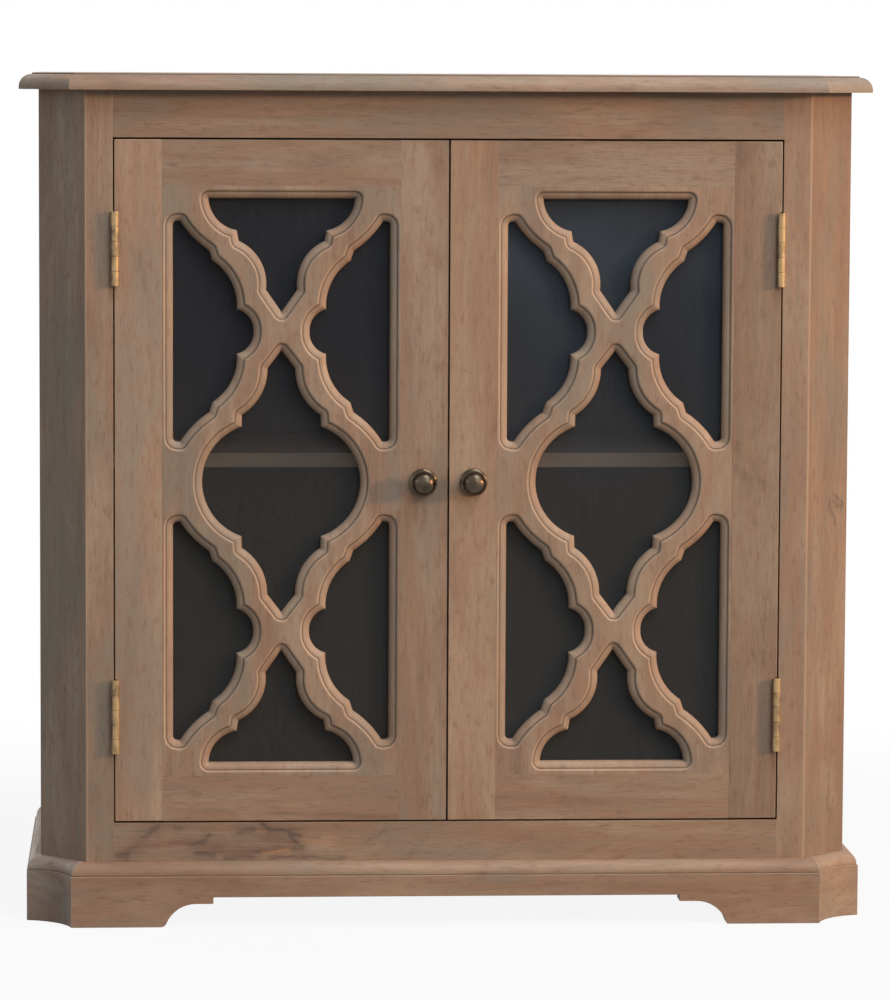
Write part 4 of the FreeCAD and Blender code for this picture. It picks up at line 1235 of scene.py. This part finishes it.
# Floor, daylight and camera: a pale floor, a low warm sun to the right and open sky.
# The camera stands 4.8 m in front, level with the top, as it did for the photograph.
FADE_START, FADE_END = 0.75, 1.5
FLOOR_WHITE = 0.90
FLOOR_LIT, FLOOR_SEEN = (0.22, 0.20, 0.18, 1), (0.62, 0.62, 0.62, 1)
bpy.ops.mesh.primitive_plane_add(size=40, location=(0, 0, 0))
floor = bpy.context.object
floor.name = "floor"
floor_material, floor_tree, floor_shader = plain_material("pale_floor")
floor_shader.inputs["Roughness"].default_value = 0.9
floor_shader.inputs["Specular IOR Level"].default_value = 0.0
white = floor_tree.nodes.new("ShaderNodeEmission")
white.inputs["Color"].default_value = (1, 1, 1, 1)
far = vector_step(floor_tree, "LENGTH", object_place(floor_tree)).outputs["Value"]
fade = ranged(floor_tree, far, FADE_START, FADE_END, FLOOR_WHITE, 1.0)
floor_rays = floor_tree.nodes.new("ShaderNodeLightPath").outputs
floor_seen = worked(
    floor_tree, "MAXIMUM", floor_rays["Is Camera Ray"], floor_rays["Is Glossy Ray"]
)
floor_colour = tinted(floor_tree, floor_seen, FLOOR_LIT, FLOOR_SEEN)
floor_tree.links.new(floor_colour, floor_shader.inputs["Base Color"])


def either_shader(tree, share, first, second, output):
    """Shows one of two shaders, or some of each."""
    mix = tree.nodes.new("ShaderNodeMixShader")
    laid(tree, (share, first.outputs[0], second.outputs[0]), mix.inputs)
    tree.links.new(mix.outputs[0], tree.nodes[output].inputs["Surface"])


floor_share = worked(floor_tree, "MULTIPLY", fade, floor_seen)
either_shader(floor_tree, floor_share, floor_shader, white, "Material Output")
finished(floor, floor_material)
floor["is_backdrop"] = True

SKY_BLUE, SKY_STRENGTH = (0.80, 0.90, 1.0, 1), 0.13
world = bpy.data.worlds.new("sky")
bpy.context.scene.world = world
world.use_nodes = True
sky = world.node_tree
sky_light = sky.nodes["Background"]
sky_light.inputs["Color"].default_value = SKY_BLUE
sky_light.inputs["Strength"].default_value = SKY_STRENGTH
backdrop = sky.nodes.new("ShaderNodeBackground")
backdrop.inputs["Color"].default_value = (1, 1, 1, 1)
backdrop.inputs["Strength"].default_value = 1.0
rays = sky.nodes.new("ShaderNodeLightPath").outputs
mirrored = worked(sky, "MAXIMUM", rays["Is Glossy Ray"], rays["Is Transmission Ray"])
seen = worked(sky, "MAXIMUM", rays["Is Camera Ray"], mirrored)
either_shader(sky, seen, sky_light, backdrop, "World Output")


def lamp(name, place, aim, size, watts, colour):
    """A round soft light that shines towards its aim."""
    light = bpy.data.lights.new(name, "AREA")
    light.shape = "DISK"
    light.size = size
    light.energy = watts
    light.color = colour
    holder = added(name, light)
    holder.location = place
    holder.rotation_mode = "QUATERNION"
    holder.rotation_quaternion = (Vector(aim) - Vector(place)).to_track_quat("-Z", "Y")


lamp("low_sun", (5.3, -2.5, 1.8), (0, -0.1, 0.45), 0.8, 250, (1.0, 0.57, 0.29))
lamp("left_sky", (-5.0, -1.9, 1.9), (0, 0, 0.45), 2.0, 24, (0.78, 0.89, 1.0))
lamp("high_sky", (1.4, -1.8, 4.2), (0, 0, 0.4), 2.6, 122, (0.92, 0.96, 1.0))
lamp("front_sky", (2.2, -4.2, 2.8), (0, 0, 0.4), 2.4, 72, (1.0, 0.95, 0.90))
lamp("back_sky", (-3.6, 4.0, 2.2), (0, 0, 0.45), 2.5, 90, (0.95, 0.97, 1.0))

CAMERA_PLACE = (-0.2995, -4.9801, 0.8890)
YAW, PITCH, ROLL = 3.528, 5.303, 0.276
SENSOR, LENS = 36.0, 168.5
camera = added("camera", bpy.data.cameras.new("camera"))
camera.data.sensor_width = SENSOR
camera.data.lens = LENS
turn = Matrix.Rotation(math.radians(-YAW), 4, "Z")
turn = turn @ Matrix.Rotation(math.radians(90 - PITCH), 4, "X")
turn = turn @ Matrix.Rotation(math.radians(ROLL), 4, "Z")
camera.matrix_world = Matrix.Translation(CAMERA_PLACE) @ turn
bpy.context.scene.camera = camera
bpy.context.scene.view_settings.view_transform = "Standard"

shown_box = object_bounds()
sizes = {
    "cad_low": list(cad_box[0]),
    "cad_high": list(cad_box[1]),
    "visual_low": list(shown_box[0]),
    "visual_high": list(shown_box[1]),
}
